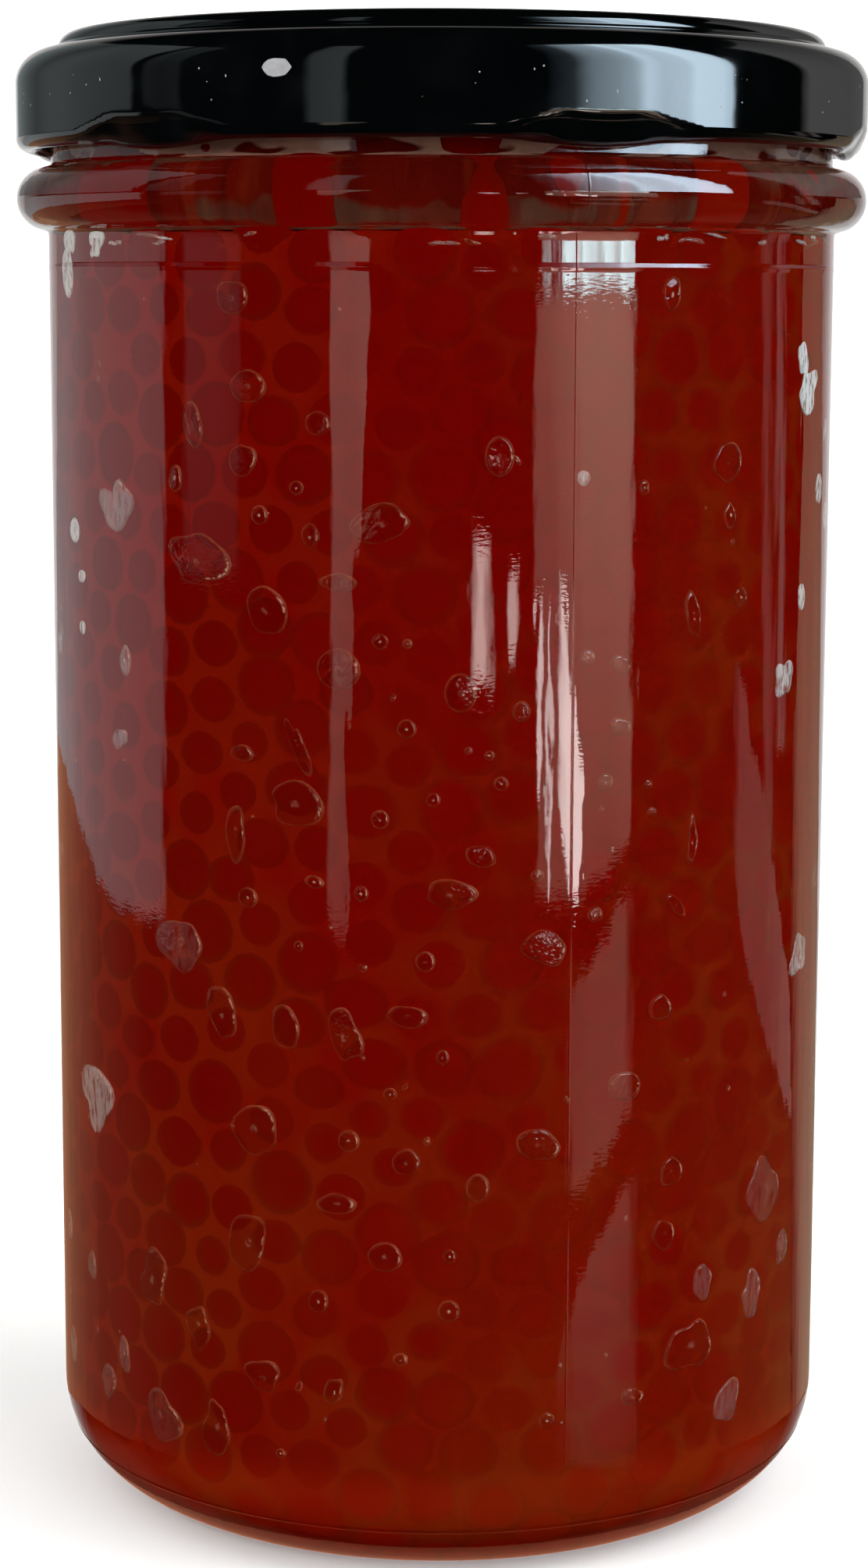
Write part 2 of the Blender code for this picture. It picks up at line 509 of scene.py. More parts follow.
@dataclass(frozen=True)
class PaleDust:
    """Pale dust, and the bare primer under chipped lacquer."""

    colour: Colour = (0.26, 0.26, 0.27)
    mottle: Lumps = Lumps(0.6)
    mottle_shade: float = 0.6
    roughness: float = 0.8

    def material(self) -> bpy.types.Material:
        """Return the dust, mottled a little.

        Returns:
            The material.
        """
        graph = Graph.named("pale_dust")
        tone = graph.shaded(graph.noise(self.mottle), self.colour, self.mottle_shade)
        return graph.done(graph.surface({"Base Color": tone, "Roughness": self.roughness}))


@dataclass(frozen=True)
class RoeTint:
    """The roe's colours: deep red eggs, and browner brine that shows more low down, with painted
    light and shade: browner on the right side, paler at the heel and darker between eggs.

    A band is a pair of heights, or of places from left to right, over which a change takes place.
    """

    deep: Colour = (0.196, 0.0008, 0.0002)
    brown: Colour = (0.192, 0.0142, 0.0016)
    # Painted shade: the gaps between eggs are darkened by this share, as they catch more light than
    # the eggs.
    gap_shade: float = 0.12
    least_egg: float = 0.04
    low_egg: float = 0.27
    least_gap: float = 0.22
    low_gap: float = 0.27
    low_band: Point = (8.0, 105.0)
    # Painted light: the brighter-lit right side is made browner by this share.
    side: float = 0.20
    side_band: Point = (6.0, 30.0)
    side_fade: float = 0.7
    heel: float = 0.2
    heel_brown_band: Point = (5.0, 16.0)
    heel_band: Point = (5.0, 12.5)
    # Painted bounce light: the heel's colour is made paler, standing in for light the table throws
    # up.
    heel_lift: float = 0.95
    cloud: Lumps = Lumps(13.0, (1.0, 1.6), 3.0)
    cloud_range: Point = (0.34, 0.70)
    cloud_spread: Point = (0.4, 1.2)
    merge: Lumps = Lumps(9.0, (1.0, 1.3))
    merge_range: Point = (0.40, 0.60)
    merge_spread: Point = (0.15, 0.95)

    def brownness(self, graph: Graph, gap: Term | float) -> Term:
        """Return how brown a place is, from 0 to 1: patchy, more so low down, and more on the right
        side as painted light.

        Args:
            graph: The material.
            gap: How far the place is from the middle of an egg, from 0 to 1.

        Returns:
            The share of brown.
        """
        x, _, z = graph.axes()
        low_down = 1.0 - z.eased(*self.low_band)
        # Painted light on the right side, less of it low down.
        side = x.eased(*self.side_band) * (1.0 - low_down * self.side_fade) * self.side
        clouds = graph.noise(self.cloud).eased(*self.cloud_range).spread(*self.cloud_spread)
        merging = graph.noise(self.merge).eased(*self.merge_range).spread(*self.merge_spread)
        egg = (low_down * self.low_egg + side + self.least_egg) * clouds
        between = (low_down * self.low_gap + side + self.least_gap) * merging * gap
        heel = (1.0 - z.eased(*self.heel_brown_band)) * self.heel
        return (egg + between + heel).at_most(1.0)

    def colour(self, graph: Graph, gap: Term | float, egg: object) -> bpy.types.Node:
        """Return a place's colour, with painted shade between eggs and painted bounce light from
        the table at the heel.

        Args:
            graph: The material.
            gap: How far the place is from the middle of an egg, from 0 to 1.
            egg: The colour in the middle of an egg.

        Returns:
            The node that gives the colour.
        """
        _, _, z = graph.axes()
        tone = graph.mixed(self.brownness(graph, gap), egg, self.brown)
        # Painted bounce light from the table, paler towards the heel.
        painted_bounce_lift = (1.0 - z.eased(*self.heel_band)) * self.heel_lift + 1.0
        # The gap is darkened here as painted shade.
        return graph.lit(tone, painted_bounce_lift * (1.0 - gap * self.gap_shade))


@dataclass(frozen=True)
class RoeSkin:
    """The eggs: deep red where they press on the glass, fading towards the gaps."""

    tint: RoeTint = RoeTint()
    edge_band: Point = (-1.40, 0.05)
    pale_tone: float = 0.92
    roughness: float = 0.35

    def material(self) -> bpy.types.Material:
        """Return the skin, coloured by each point's depth behind the glass.

        Returns:
            The material.
        """
        graph = Graph.named("roe_skin")
        gaps = graph.attribute("depth").eased(*self.edge_band)
        pale = tuple(self.pale_tone * part for part in self.tint.deep)
        dark = graph.mixed(graph.attribute("tone"), pale, self.tint.deep)
        inputs = {
            "Base Color": self.tint.colour(graph, gaps, dark),
            "Roughness": self.roughness,
            "Specular IOR Level": 0.0,
        }
        return graph.done(graph.surface(inputs))


@dataclass(frozen=True)
class Brine:
    """Cloudy brine, which hides what lies behind the eggs at the glass."""

    tint: RoeTint = RoeTint()
    clear_tint: Colour = (1.0, 0.93, 0.88)
    haze: float = 0.90

    def material(self) -> bpy.types.Material:
        """Return the brine's surface.

        Returns:
            The material.
        """
        graph = Graph.named("brine")
        haze = graph.matt(self.tint.colour(graph, 1.0, self.tint.deep))
        return graph.done(graph.either(self.haze, graph.clear(self.clear_tint), haze))


@dataclass(frozen=True)
class TrappedAir:
    """Air between the glass and the eggs, with painted reflected light on its rim, painted glints
    and a pale painted sheen.
    """

    index: float = 0.72
    wrinkle: Lumps = Lumps(0.7)
    wrinkle_depth: float = 0.035
    rim_colour: Colour = (0.34, 0.085, 0.035)
    rim_share: float = 0.7
    rim_gap: Lumps = Lumps(1.4)
    rim_gap_range: Point = (0.3, 0.6)
    rim_spread: Point = (0.3, 0.7)
    glint_colour: Colour = (0.50, 0.26, 0.18)
    glint: Lumps = Lumps(0.5)
    glint_range: Point = (0.4, 0.62)
    frost_colour: Colour = (0.72, 0.70, 0.66)
    frost: Lumps = Lumps(0.45, (1.0, 3.0), 3.0)
    frost_range: Point = (0.25, 0.6)

    def material(self) -> bpy.types.Material:
        """Return the air's surface, seen from the denser side.

        Returns:
            The material.
        """
        graph = Graph.named("trapped_air")
        inputs = {
            "Roughness": 0.0,
            "IOR": self.index,
            "Transmission Weight": 1.0,
            "Normal": graph.bump(graph.noise(self.wrinkle), self.wrinkle_depth),
        }
        bubble = graph.surface(inputs)
        broken = graph.noise(self.rim_gap).eased(*self.rim_gap_range).spread(*self.rim_spread)
        # Painted reflection: a matt rim stands in for the light that the rim turns back.
        rim = graph.attribute("rim") * broken * self.rim_share
        look = graph.either(rim, bubble, graph.matt(self.rim_colour))
        glint = graph.attribute("glint") * graph.noise(self.glint).eased(*self.glint_range)
        look = graph.either(glint, look, graph.matt(self.glint_colour))
        # Painted reflection: a pale streaky sheen stands in for the white that some pockets
        # reflect.
        frost = graph.attribute("frost") * graph.noise(self.frost).eased(*self.frost_range)
        look = graph.either(frost, look, graph.matt(self.frost_colour))
        return graph.done(graph.either(graph.ray_is("Shadow"), look, graph.clear()))


@dataclass(frozen=True)
class PaleFloor:
    """A matt, nearly white table top."""

    colour: Colour = (0.80, 0.80, 0.79)
    cloud: Lumps = Lumps(60.0)
    cloud_share: float = 0.15
    cloud_shade: float = 0.9
    roughness: float = 0.8

    def material(self) -> bpy.types.Material:
        """Return the table top, with a trace of unevenness.

        Returns:
            The material.
        """
        graph = Graph.named("pale_floor")
        cloud = graph.noise(self.cloud) * self.cloud_share
        tone = graph.shaded(cloud, self.colour, self.cloud_shade)
        return graph.done(graph.surface({"Base Color": tone, "Roughness": self.roughness}))


@dataclass(frozen=True)
class Glow:
    """A lit panel, whose shine the mesh holds at each corner."""

    name: str
    colour: Colour
    strength: float

    def material(self) -> bpy.types.Material:
        """Return the light.

        Returns:
            The material.
        """
        graph = Graph.named(self.name)
        shade = graph.mixed(graph.attribute("shine"), (0.0, 0.0, 0.0), self.colour)
        light = graph.add("ShaderNodeEmission", inputs={"Color": shade, "Strength": self.strength})
        return graph.done(light)


# ---- mesh making


def arc(centre: Point, radius: float, start_deg: float, end_deg: float, steps: int) -> list[Point]:
    """Return points (r, z) on an arc.

    Args:
        centre: The arc's centre.
        radius: Its radius.
        start_deg: The angle of its first point.
        end_deg: The angle of its last point.
        steps: How many equal pieces it has.

    Returns:
        The points, both ends included.
    """
    angles = np.radians(np.linspace(start_deg, end_deg, steps + 1))
    return [
        (float(centre[0] + radius * math.cos(a)), float(centre[1] + radius * math.sin(a)))
        for a in angles
    ]


def run(start: Point, end: Point, step: float) -> list[Point]:
    """Return points along a straight run, its end left out.

    Args:
        start: Its first point.
        end: Where it ends.
        step: How far apart two points may be.

    Returns:
        The points, in order.
    """
    count = max(1, math.ceil(math.dist(start, end) / step))
    return [
        (start[0] + (end[0] - start[0]) * i / count, start[1] + (end[1] - start[1]) * i / count)
        for i in range(count)
    ]


def straight_runs(points: Sequence[Point], step: float) -> list[Point]:
    """Return an outline with points added along every stretch longer than a step.

    Args:
        points: The outline's points.
        step: The longest stretch left whole.

    Returns:
        The outline with the added points.
    """
    filled: list[Point] = []
    for start, end in zip(points, points[1:]):
        filled += run(start, end, step)
    return filled + [points[-1]]


def drawn_in(outline: Sequence[Point], depth: float) -> list[Point]:
    """Return an outline moved to its inner side by a depth.

    Args:
        outline: Points (r, z) that run down the outer side.
        depth: How far to move, against the way the outer side faces.

    Returns:
        The moved outline, its points in the same order.
    """
    on_axis = 1e-9
    points = np.array(outline)
    along = np.gradient(points, axis=0)
    along /= np.linalg.norm(along, axis=1, keepdims=True)
    outward = np.stack([-along[:, 1], along[:, 0]], axis=1)
    moved = points - outward * depth
    moved[:, 0] = np.where(points[:, 0] < on_axis, 0.0, np.maximum(moved[:, 0], 0.0))
    return [(float(r), float(z)) for r, z in moved]


def round_jar(angle: np.ndarray, radius: np.ndarray | float, height: np.ndarray) -> np.ndarray:
    """Return points from their angles in radians, their radii and their heights."""
    return np.stack([radius * np.sin(angle), -radius * np.cos(angle), height], axis=-1)


def hold(mesh: bpy.types.Mesh, name: str, values: Sequence[float]) -> None:
    """Give each point of a mesh a number, under a name."""
    mesh.attributes.new(name, "FLOAT", "POINT").data.foreach_set("value", values)


def made(
    name: str,
    points: Sequence[Sequence[float]],
    faces: Sequence[Sequence[int]],
    finishes: Sequence[bpy.types.Material] = (),
    **held: Sequence[float],
) -> bpy.types.Object:
    """Make a piece from its points and faces.

    Args:
        name: The piece's name.
        points: Its points, in metres.
        faces: Each face's places in the list of points.
        finishes: The piece's materials.
        held: Numbers that its points hold, by name.

    Returns:
        The new piece, in the scene and at the origin.
    """
    mesh = bpy.data.meshes.new(name)
    mesh.from_pydata(points, [], faces)
    for finish in finishes:
        mesh.materials.append(finish)
    for key, values in held.items():
        hold(mesh, key, values)
    piece = bpy.data.objects.new(name, mesh)
    bpy.context.scene.collection.objects.link(piece)
    return piece


Warp = Callable[[np.ndarray, np.ndarray, np.ndarray], tuple[np.ndarray, np.ndarray]]


def turned(
    name: str,
    outline: Sequence[Point],
    segments: int,
    finishes: Sequence[bpy.types.Material],
    finish_at: Callable[[int], int] | None = None,
    warp: Warp | None = None,
) -> bpy.types.Object:
    """Turn an outline about the axis into a closed piece whose faces point outwards.

    Args:
        name: The piece's name.
        outline: Points (r, z) in millimetres, both ends on the axis, down the outer side.
        segments: How many faces go round.
        finishes: The piece's materials.
        finish_at: Which of them the faces after an outline point take.
        warp: Moves points, from arrays of radius, height and angle in degrees to radius and height.

    Returns:
        The new piece, at the origin.
    """
    rings = np.array(outline[1:-1])
    angles = np.arange(segments) * 2.0 * math.pi / segments
    radius = np.repeat(rings[:, :1], segments, axis=1)
    height = np.repeat(rings[:, 1:], segments, axis=1)
    angle = np.repeat(angles[None, :], len(rings), axis=0)
    if warp is not None:
        radius, height = warp(radius, height, np.degrees(angle))
    poles = np.array([[0.0, 0.0, outline[0][1]], [0.0, 0.0, outline[-1][1]]])
    points = np.concatenate([round_jar(angle, radius, height).reshape(-1, 3), poles]) * MM
    top, foot = len(points) - 2, len(points) - 1
    pairs = [(a, (a + 1) % segments) for a in range(segments)]
    faces: list[tuple[int, ...]] = [(top, a, b) for a, b in pairs]
    for ring in range(len(rings) - 1):
        low, high = ring * segments, (ring + 1) * segments
        faces += [(low + a, high + a, high + b, low + b) for a, b in pairs]
    last = (len(rings) - 1) * segments
    faces += [(foot, last + b, last + a) for a, b in pairs]
    piece = made(name, points.tolist(), faces, finishes)
    if finish_at is not None:
        slots = np.repeat([finish_at(ring) for ring in range(len(rings) + 1)], segments)
        piece.data.polygons.foreach_set("material_index", slots.astype(np.int32))
    piece.data.shade_smooth()
    return piece


class Scatter(NodeTree):
    """A Geometry Nodes tree that ends in a finished mesh."""

    def __init__(self, name: str) -> None:
        """Start a tree with a geometry input and output.

        Args:
            name: The tree's name.
        """
        super().__init__(bpy.data.node_groups.new(name, "GeometryNodeTree"))
        self.values: dict[str, object] = {}
        for way in ("INPUT", "OUTPUT"):
            self.tree.interface.new_socket("Geometry", in_out=way, socket_type="NodeSocketGeometry")
        self.source = self.add("NodeGroupInput")
        self.sink = self.add("NodeGroupOutput")

    def named(self, name: str, kind: str, value: object) -> bpy.types.NodeSocket:
        """Add a named input and return its socket inside the tree.

        Args:
            name: The input's name.
            kind: Its socket type.
            value: What the modifier sets it to.

        Returns:
            The input's socket.
        """
        item = self.tree.interface.new_socket(name, in_out="INPUT", socket_type=kind)
        self.values[item.identifier] = value
        return next(s for s in self.source.outputs if s.identifier == item.identifier)

    def finish(
        self, piece: bpy.types.Object, instances: bpy.types.Node, material: bpy.types.Material
    ) -> bpy.types.Object:
        """Realize the instances, give them their material, and run the tree on a piece.

        Args:
            piece: The object whose mesh feeds the tree.
            instances: The node whose geometry is realized.
            material: What every face gets.

        Returns:
            The piece, now a plain mesh.
        """
        material_in = self.named("Finish", "NodeSocketMaterial", material)
        real = self.add("GeometryNodeRealizeInstances", inputs={0: instances})
        dressed = self.add("GeometryNodeSetMaterial", inputs={0: real, "Material": material_in})
        self.feed(self.sink.inputs[0], dressed)
        modifier = piece.modifiers.new("Scatter", "NODES")
        modifier.node_group = self.tree
        for identifier, value in self.values.items():
            modifier[identifier] = value
        depsgraph = bpy.context.evaluated_depsgraph_get()
        mesh = bpy.data.meshes.new_from_object(piece.evaluated_get(depsgraph))
        piece.modifiers.clear()
        piece.data = mesh
        mesh.materials.clear()
        mesh.materials.append(material)
        mesh.shade_smooth()
        return piece


# ---- the camera


@dataclass
class Viewpoint:
    """Where the camera stands, and what a place in its frame shows."""

    distance: float = 328.6
    height: float = 124.1
    pitch_deg: float = 8.99
    roll_deg: float = 0.18
    focal_px: float = 4087.0
    axis_px: float = 563.2
    sensor: float = 36.0

    def place(self) -> Vector:
        """Return the camera's place in millimetres."""
        return Vector((0.0, -self.distance, self.height))

    def turn(self) -> Matrix:
        """Return the camera's rotation.

        Returns:
            The camera's turn.
        """
        aside = math.atan2(self.axis_px - FRAME_WIDTH_PX / 2.0, self.focal_px)
        yaw = Matrix.Rotation(aside, 3, "Z")
        pitch = Matrix.Rotation(math.radians(90.0 - self.pitch_deg), 3, "X")
        roll = Matrix.Rotation(math.radians(self.roll_deg), 3, "Z")
        return yaw @ pitch @ roll

    def ray(self, pixel: Point) -> Vector:
        """Return the direction in which the camera sees a pixel of the full frame.

        Args:
            pixel: A place in the full frame.

        Returns:
            A direction of length 1.
        """
        across = pixel[0] - FRAME_WIDTH_PX / 2.0
        down = pixel[1] - FRAME_HEIGHT_PX / 2.0
        return (self.turn() @ Vector((across, -down, -self.focal_px))).normalized()

    @staticmethod
    def meeting(start: Vector, way: Vector, radius: float) -> Vector:
        """Return where a line first meets an upright cylinder, or passes it closest.

        Args:
            start: A point on the line.
            way: Its direction.
            radius: The cylinder's radius.

        Returns:
            The meeting point.
        """
        a = way.x**2 + way.y**2
        b = start.x * way.x + start.y * way.y
        c = start.x**2 + start.y**2 - radius**2
        return start + way * ((-b - math.sqrt(max(b * b - a * c, 0.0))) / a)

    def on_cylinder(self, pixel: Point, radius: float) -> Vector:
        """Return where a pixel's ray first meets an upright cylinder, or passes it closest."""
        return self.meeting(self.place(), self.ray(pixel), radius)

    def through_glass(self, pixel: Point, outer: float, inner: float) -> Vector:
        """Return where a pixel's ray, bent by the glass, meets the inner wall.

        Args:
            pixel: A place in the full frame.
            outer: The glass's outer radius.
            inner: Its inner radius.

        Returns:
            A point on the inner wall.
        """
        start = self.on_cylinder(pixel, outer)
        normal = Vector((start.x, start.y, 0.0)).normalized()
        way = (start - self.place()).normalized()
        cosine = -way.dot(normal)
        ratio = 1.0 / GLASS_INDEX
        bent = math.sqrt(1.0 - ratio**2 * (1.0 - cosine**2))
        return self.meeting(start, way * ratio + normal * (ratio * cosine - bent), inner)

    def camera(self) -> bpy.types.Object:
        """Add the camera to the scene and return it.

        Returns:
            The camera.
        """
        data = bpy.data.cameras.new("camera")
        data.sensor_fit = "VERTICAL"
        data.sensor_height = self.sensor
        data.lens = self.focal_px * self.sensor / FRAME_HEIGHT_PX
        camera = bpy.data.objects.new("camera", data)
        camera.matrix_world = Matrix.Translation(self.place() * MM) @ self.turn().to_4x4()
        bpy.context.scene.collection.objects.link(camera)
        bpy.context.scene.camera = camera
        return camera


# ---- the jar


class GlassFinish(IntEnum):
    """The finishes of the glass, by their places in the piece's list of materials."""

    CLEAR = 0
    WETTED = 1
    SMEARED = 2


@dataclass
class GlassJar:
    """The pressed glass jar: a straight body, a bead under the neck and a shallow punt.

    A fillet beside the bead is a row of distances from it, each with how far the glass stands
    out there. A seam is a row of places across it, each with its share of the seam's height.
    """

    radius: float = 39.6
    wall: float = 2.4
    heel: float = 10.0
    foot_seam_deg: float = 25.0
    foot_seam_depth: float = 0.07
    foot_seam_clear_deg: float = 5.0
    foot_seam_shape: tuple[Point, ...] = (
        (-2.0, 0.0), (-1.0, 0.0), (-0.4, 1.0), (0.4, 1.0), (1.0, 0.0), (2.0, 0.0),
    )
    foot_ring: float = 5.0
    foot_round: Point = (0.6, 0.1)
    punt_step: float = 2.0
    punt_edge: float = 0.8
    punt: float = 1.6
    floor: float = 4.2
    floor_fillet: float = 6.0
    neck_radius: float = 39.3
    neck_wall: float = 2.9
    rim_height: float = 145.3
    bead_height: float = 131.9
    bead_section: float = 3.1
    bead_sweep_deg: float = 80.0
    bead_fillet: tuple[Point, ...] = ((1.3, 0.0), (0.45, 0.0), (0.15, 0.06))
    throat_start: float = 127.0
    throat_end: float = 131.0
    brine_level: float = 128.6
    seam_height: float = 125.2
    seam_width: float = 0.30
    seam_depth: float = 0.04
    seam_shape: tuple[Point, ...] = (
        (3.0, 0.0), (1.6, 0.0), (0.6, 1.0), (-0.6, 1.0), (-1.6, 0.0), (-3.0, 0.0),
    )
    inner_step: float = 4.0
    outer_step: float = 6.0
    segments: int = 256

    @property
    def bore(self) -> float:
        """The neck's inner radius."""
        return self.neck_radius - self.neck_wall

    @property
    def inside(self) -> float:
        """The body's inner radius."""
        return self.radius - self.wall

    @property
    def floor_corner(self) -> Point:
        """The centre of the rounding between the floor and the wall."""
        return self.inside - self.floor_fillet, self.floor + self.floor_fillet

    def inner_outline(self) -> list[Point]:
        """Return the inner surface from the floor's middle up to the rim.

        Returns:
            Its points (r, z).
        """
        fillet = arc(self.floor_corner, self.floor_fillet, -90.0, 0.0, 10)
        throat = [
            (self.inside, self.throat_start),
            (self.bore, self.throat_end),
            (self.bore, self.rim_height - self.neck_wall / 2.0),
        ]
        return straight_runs([(0.0, self.floor)] + fillet + throat, self.inner_step)

    def heel_outline(self) -> list[Point]:
        """Return the rounding of the heel, with a fine moulded line along it.

        Returns:
            Its points (r, z).
        """
        centre = (self.radius - self.heel, self.heel)
        seam, clear = self.foot_seam_deg, self.foot_seam_clear_deg
        heel = arc(centre, self.heel, 0.0, -seam + clear, 7)
        for off, share in self.foot_seam_shape:
            turn = math.radians(seam + off)
            reach = self.heel + self.foot_seam_depth * share
            heel.append((centre[0] + reach * math.cos(turn), centre[1] - reach * math.sin(turn)))
        return heel + arc(centre, self.heel, -seam - clear, -90.0, 20)

    def outer_outline(self) -> list[Point]:
        """Return the outer surface from the rim down to the middle of the foot.

        Returns:
            Its points (r, z).
        """
        section = self.neck_wall / 2.0
        rim = arc((self.bore + section, self.rim_height - section), section, 180.0, 0.0, 12)
        above = [
            (self.neck_radius + out, self.bead_height + self.bead_section + gap)
            for gap, out in self.bead_fillet
        ]
        sweep = self.bead_sweep_deg
        bead = arc((self.radius, self.bead_height), self.bead_section, sweep, -sweep, 28)
        below = [
            (self.radius + out, self.bead_height - self.bead_section - gap)
            for gap, out in reversed(self.bead_fillet)
        ]
        half = self.seam_width / 2.0
        seam = [
            (self.radius + self.seam_depth * share, self.seam_height + across * half)
            for across, share in self.seam_shape
        ]
        ring_inner = self.radius - self.heel - self.foot_ring
        foot = [
            (ring_inner, 0.0),
            (ring_inner - self.foot_round[0], self.foot_round[1]),
            (ring_inner - self.punt_step, self.punt_edge),
            (ring_inner * 0.5, (self.punt_edge + 2.0 * self.punt) / 3.0),
            (0.0, self.punt),
        ]
        side = rim + above + bead + below + seam + self.heel_outline()
        return straight_runs(side + foot, self.outer_step)

    def inner_radius(self, height: np.ndarray) -> np.ndarray:
        """Return the inner surface's radius at heights above the floor's round corner."""
        return np.interp(height, [self.throat_start, self.throat_end], [self.inside, self.bore])

    def past_corner(self, points: np.ndarray) -> tuple[np.ndarray, np.ndarray]:
        """Return how far points lie out and down from the roundings' centres, in millimetres.

        Args:
            points: An array of points.

        Returns:
            How far out, and how far down.
        """
        radius = np.hypot(points[:, 0], points[:, 1])
        across = radius - (self.inner_radius(points[:, 2]) - self.floor_fillet)
        return across, self.floor_corner[1] - points[:, 2]

    def depth_inside(self, points: np.ndarray) -> np.ndarray:
        """Return how far points lie from the inner surface, in millimetres.

        Args:
            points: An array of points in millimetres.

        Returns:
            Each point's depth, above 0 inside the vessel.
        """
        across, down = self.past_corner(points)
        outside = np.hypot(np.maximum(across, 0.0), np.maximum(down, 0.0))
        return self.floor_fillet - outside - np.minimum(np.maximum(across, down), 0.0)

    def build(self) -> bpy.types.Object:
        """Make the jar and put it in the place of its solid.

        Returns:
            The glass.
        """
        inner = self.inner_outline()
        outline = inner[:-1] + self.outer_outline()
        finishes = [finish.material() for finish in (ClearGlass(), WettedGlass(), SmearedGlass())]

        def finish_at(ring: int) -> GlassFinish:
            """Return the finish of the faces that start at an outline point.

            Args:
                ring: The outline point's number.

            Returns:
                Their slot.
            """
            if ring >= len(inner) - 1:
                return GlassFinish.CLEAR
            wet = outline[ring][1] < self.brine_level
            return GlassFinish.WETTED if wet else GlassFinish.SMEARED

        piece = turned("jar_glass", outline, self.segments, finishes, finish_at)
        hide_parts("glass_jar")
        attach(piece, "root")
        return piece


@dataclass
class TwistOffLid:
    """The pressed tinplate lid: a raised ring, a round shoulder, a rolled curl and six lugs.

    A lug is pressed in below its brow, which stands at a least share of the lug's reach and
    climbs towards the lug's middle. A gain is how soon something grows from the lug's ends.
    """

    radius: float = 42.65
    sheet: float = 0.25
    top: float = 148.0
    panel_radius: float = 35.0
    panel_height: float = 147.0
    ring_radius: float = 37.0
    ring_section: float = 1.4
    crease_fillet: float = 0.4
    shoulder_height: float = 146.3
    shoulder_radius: float = 3.2
    curl_section: float = 1.2
    curl_low: float = 136.5
    curl_sweep_deg: float = 250.0
    skirt_step: float = 0.3
    skirt_fine_step: float = 0.08
    skirt_fine_height: float = 3.0
    lugs: int = 6
    first_lug_deg: float = 20.0
    lug_half_width_deg: float = 16.0
    lug_drop: float = 0.7
    lug_slope: float = 0.56
    lug_reach: float = 2.7
    lug_fold: float = 0.08
    lug_depth: float = 1.05
    lug_gain: float = 2.5
    brow_least: float = 0.35
    brow_gain: float = 1.3
    brow_margin: float = 2.0
    curl_margin: float = 1.0
    segments: int = 288

    def outer_outline(self) -> list[Point]:
        """Return the lid's outer skin from the middle of its panel to the end of its curl.

        Returns:
            Its points (r, z).
        """
        panel = [
            (0.0, self.panel_height),
            (self.panel_radius - 1.0, self.panel_height),
            (self.panel_radius, self.panel_height),
        ]
        ring_centre = (self.ring_radius, self.top - self.ring_section)
        ring = arc(ring_centre, self.ring_section, 155.0, 0.0, 14)
        crease_centre = (
            self.ring_radius + self.ring_section + self.crease_fillet,
            self.shoulder_height + self.crease_fillet,
        )
        crease = arc(crease_centre, self.crease_fillet, 180.0, 270.0, 5)
        rounding = self.shoulder_radius
        shoulder_centre = (self.radius - rounding, self.shoulder_height - rounding)
        shoulder = arc(shoulder_centre, rounding, 90.0, 0.0, 14)
        curl_centre = (self.radius - self.curl_section, self.curl_low + self.curl_section)
        curl = arc(curl_centre, self.curl_section, 0.0, -self.curl_sweep_deg, 22)
        fine_from = (self.radius, curl_centre[1] + self.skirt_fine_height)
        skirt = run(shoulder[-1], fine_from, self.skirt_step)
        skirt += run(fine_from, (self.radius, curl_centre[1]), self.skirt_fine_step)
        return straight_runs(panel + ring + crease + shoulder, 5.0) + skirt[1:] + curl

    def lug_share(self, angle_deg: np.ndarray) -> np.ndarray:
        """Return 1 at a lug, 0 between lugs and a smooth change between them.

        Args:
            angle_deg: Angles round the lid.

        Returns:
            Each angle's share.
        """
        pitch = 360.0 / self.lugs
        off = np.abs((angle_deg - self.first_lug_deg + pitch / 2.0) % pitch - pitch / 2.0)
        share = np.clip(1.0 - off / self.lug_half_width_deg, 0.0, 1.0)
        return share * share * (3.0 - 2.0 * share)

    def pressed(
        self, radius: np.ndarray, height: np.ndarray, angle_deg: np.ndarray
    ) -> tuple[np.ndarray, np.ndarray]:
        """Move points of the turned lid to the pressed one.

        Args:
            radius: Each point's radius.
            height: Each point's height.
            angle_deg: Each point's angle round the jar.

        Returns:
            The new radius and height.
        """
        share = self.lug_share(angle_deg)
        on_skirt = radius > self.radius - self.shoulder_radius
        curl_top = self.curl_low + 2.0 * self.curl_section
        climb = (1.0 - self.brow_least) * np.minimum(share * self.brow_gain, 1.0)
        brow = self.curl_low + self.lug_reach * (self.brow_least + climb)
        below = (brow - height + np.hypot(brow - height, self.lug_fold)) / 2.0
        pressed = self.lug_slope * below * (height < brow + self.brow_margin)
        inward = np.minimum(pressed, self.lug_depth) * np.minimum(share * self.lug_gain, 1.0)
        low = np.clip((curl_top + self.curl_margin - height) / self.curl_section, 0.0, 1.0)
        return (
            np.where(on_skirt, radius - inward, radius),
            np.where(on_skirt, height - self.lug_drop * share * low, height),
        )

    def build(self) -> bpy.types.Object:
        """Make the lid and put it in the place of its solid.

        Returns:
            The lid.
        """
        skin = self.outer_outline()
        outline = skin + drawn_in(skin, self.sheet)[::-1]
        lacquer = BlackLacquer().material()
        piece = turned("lid_shell", outline, self.segments, [lacquer], warp=self.pressed)
        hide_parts("lid")
        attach(piece, "root")
        return piece


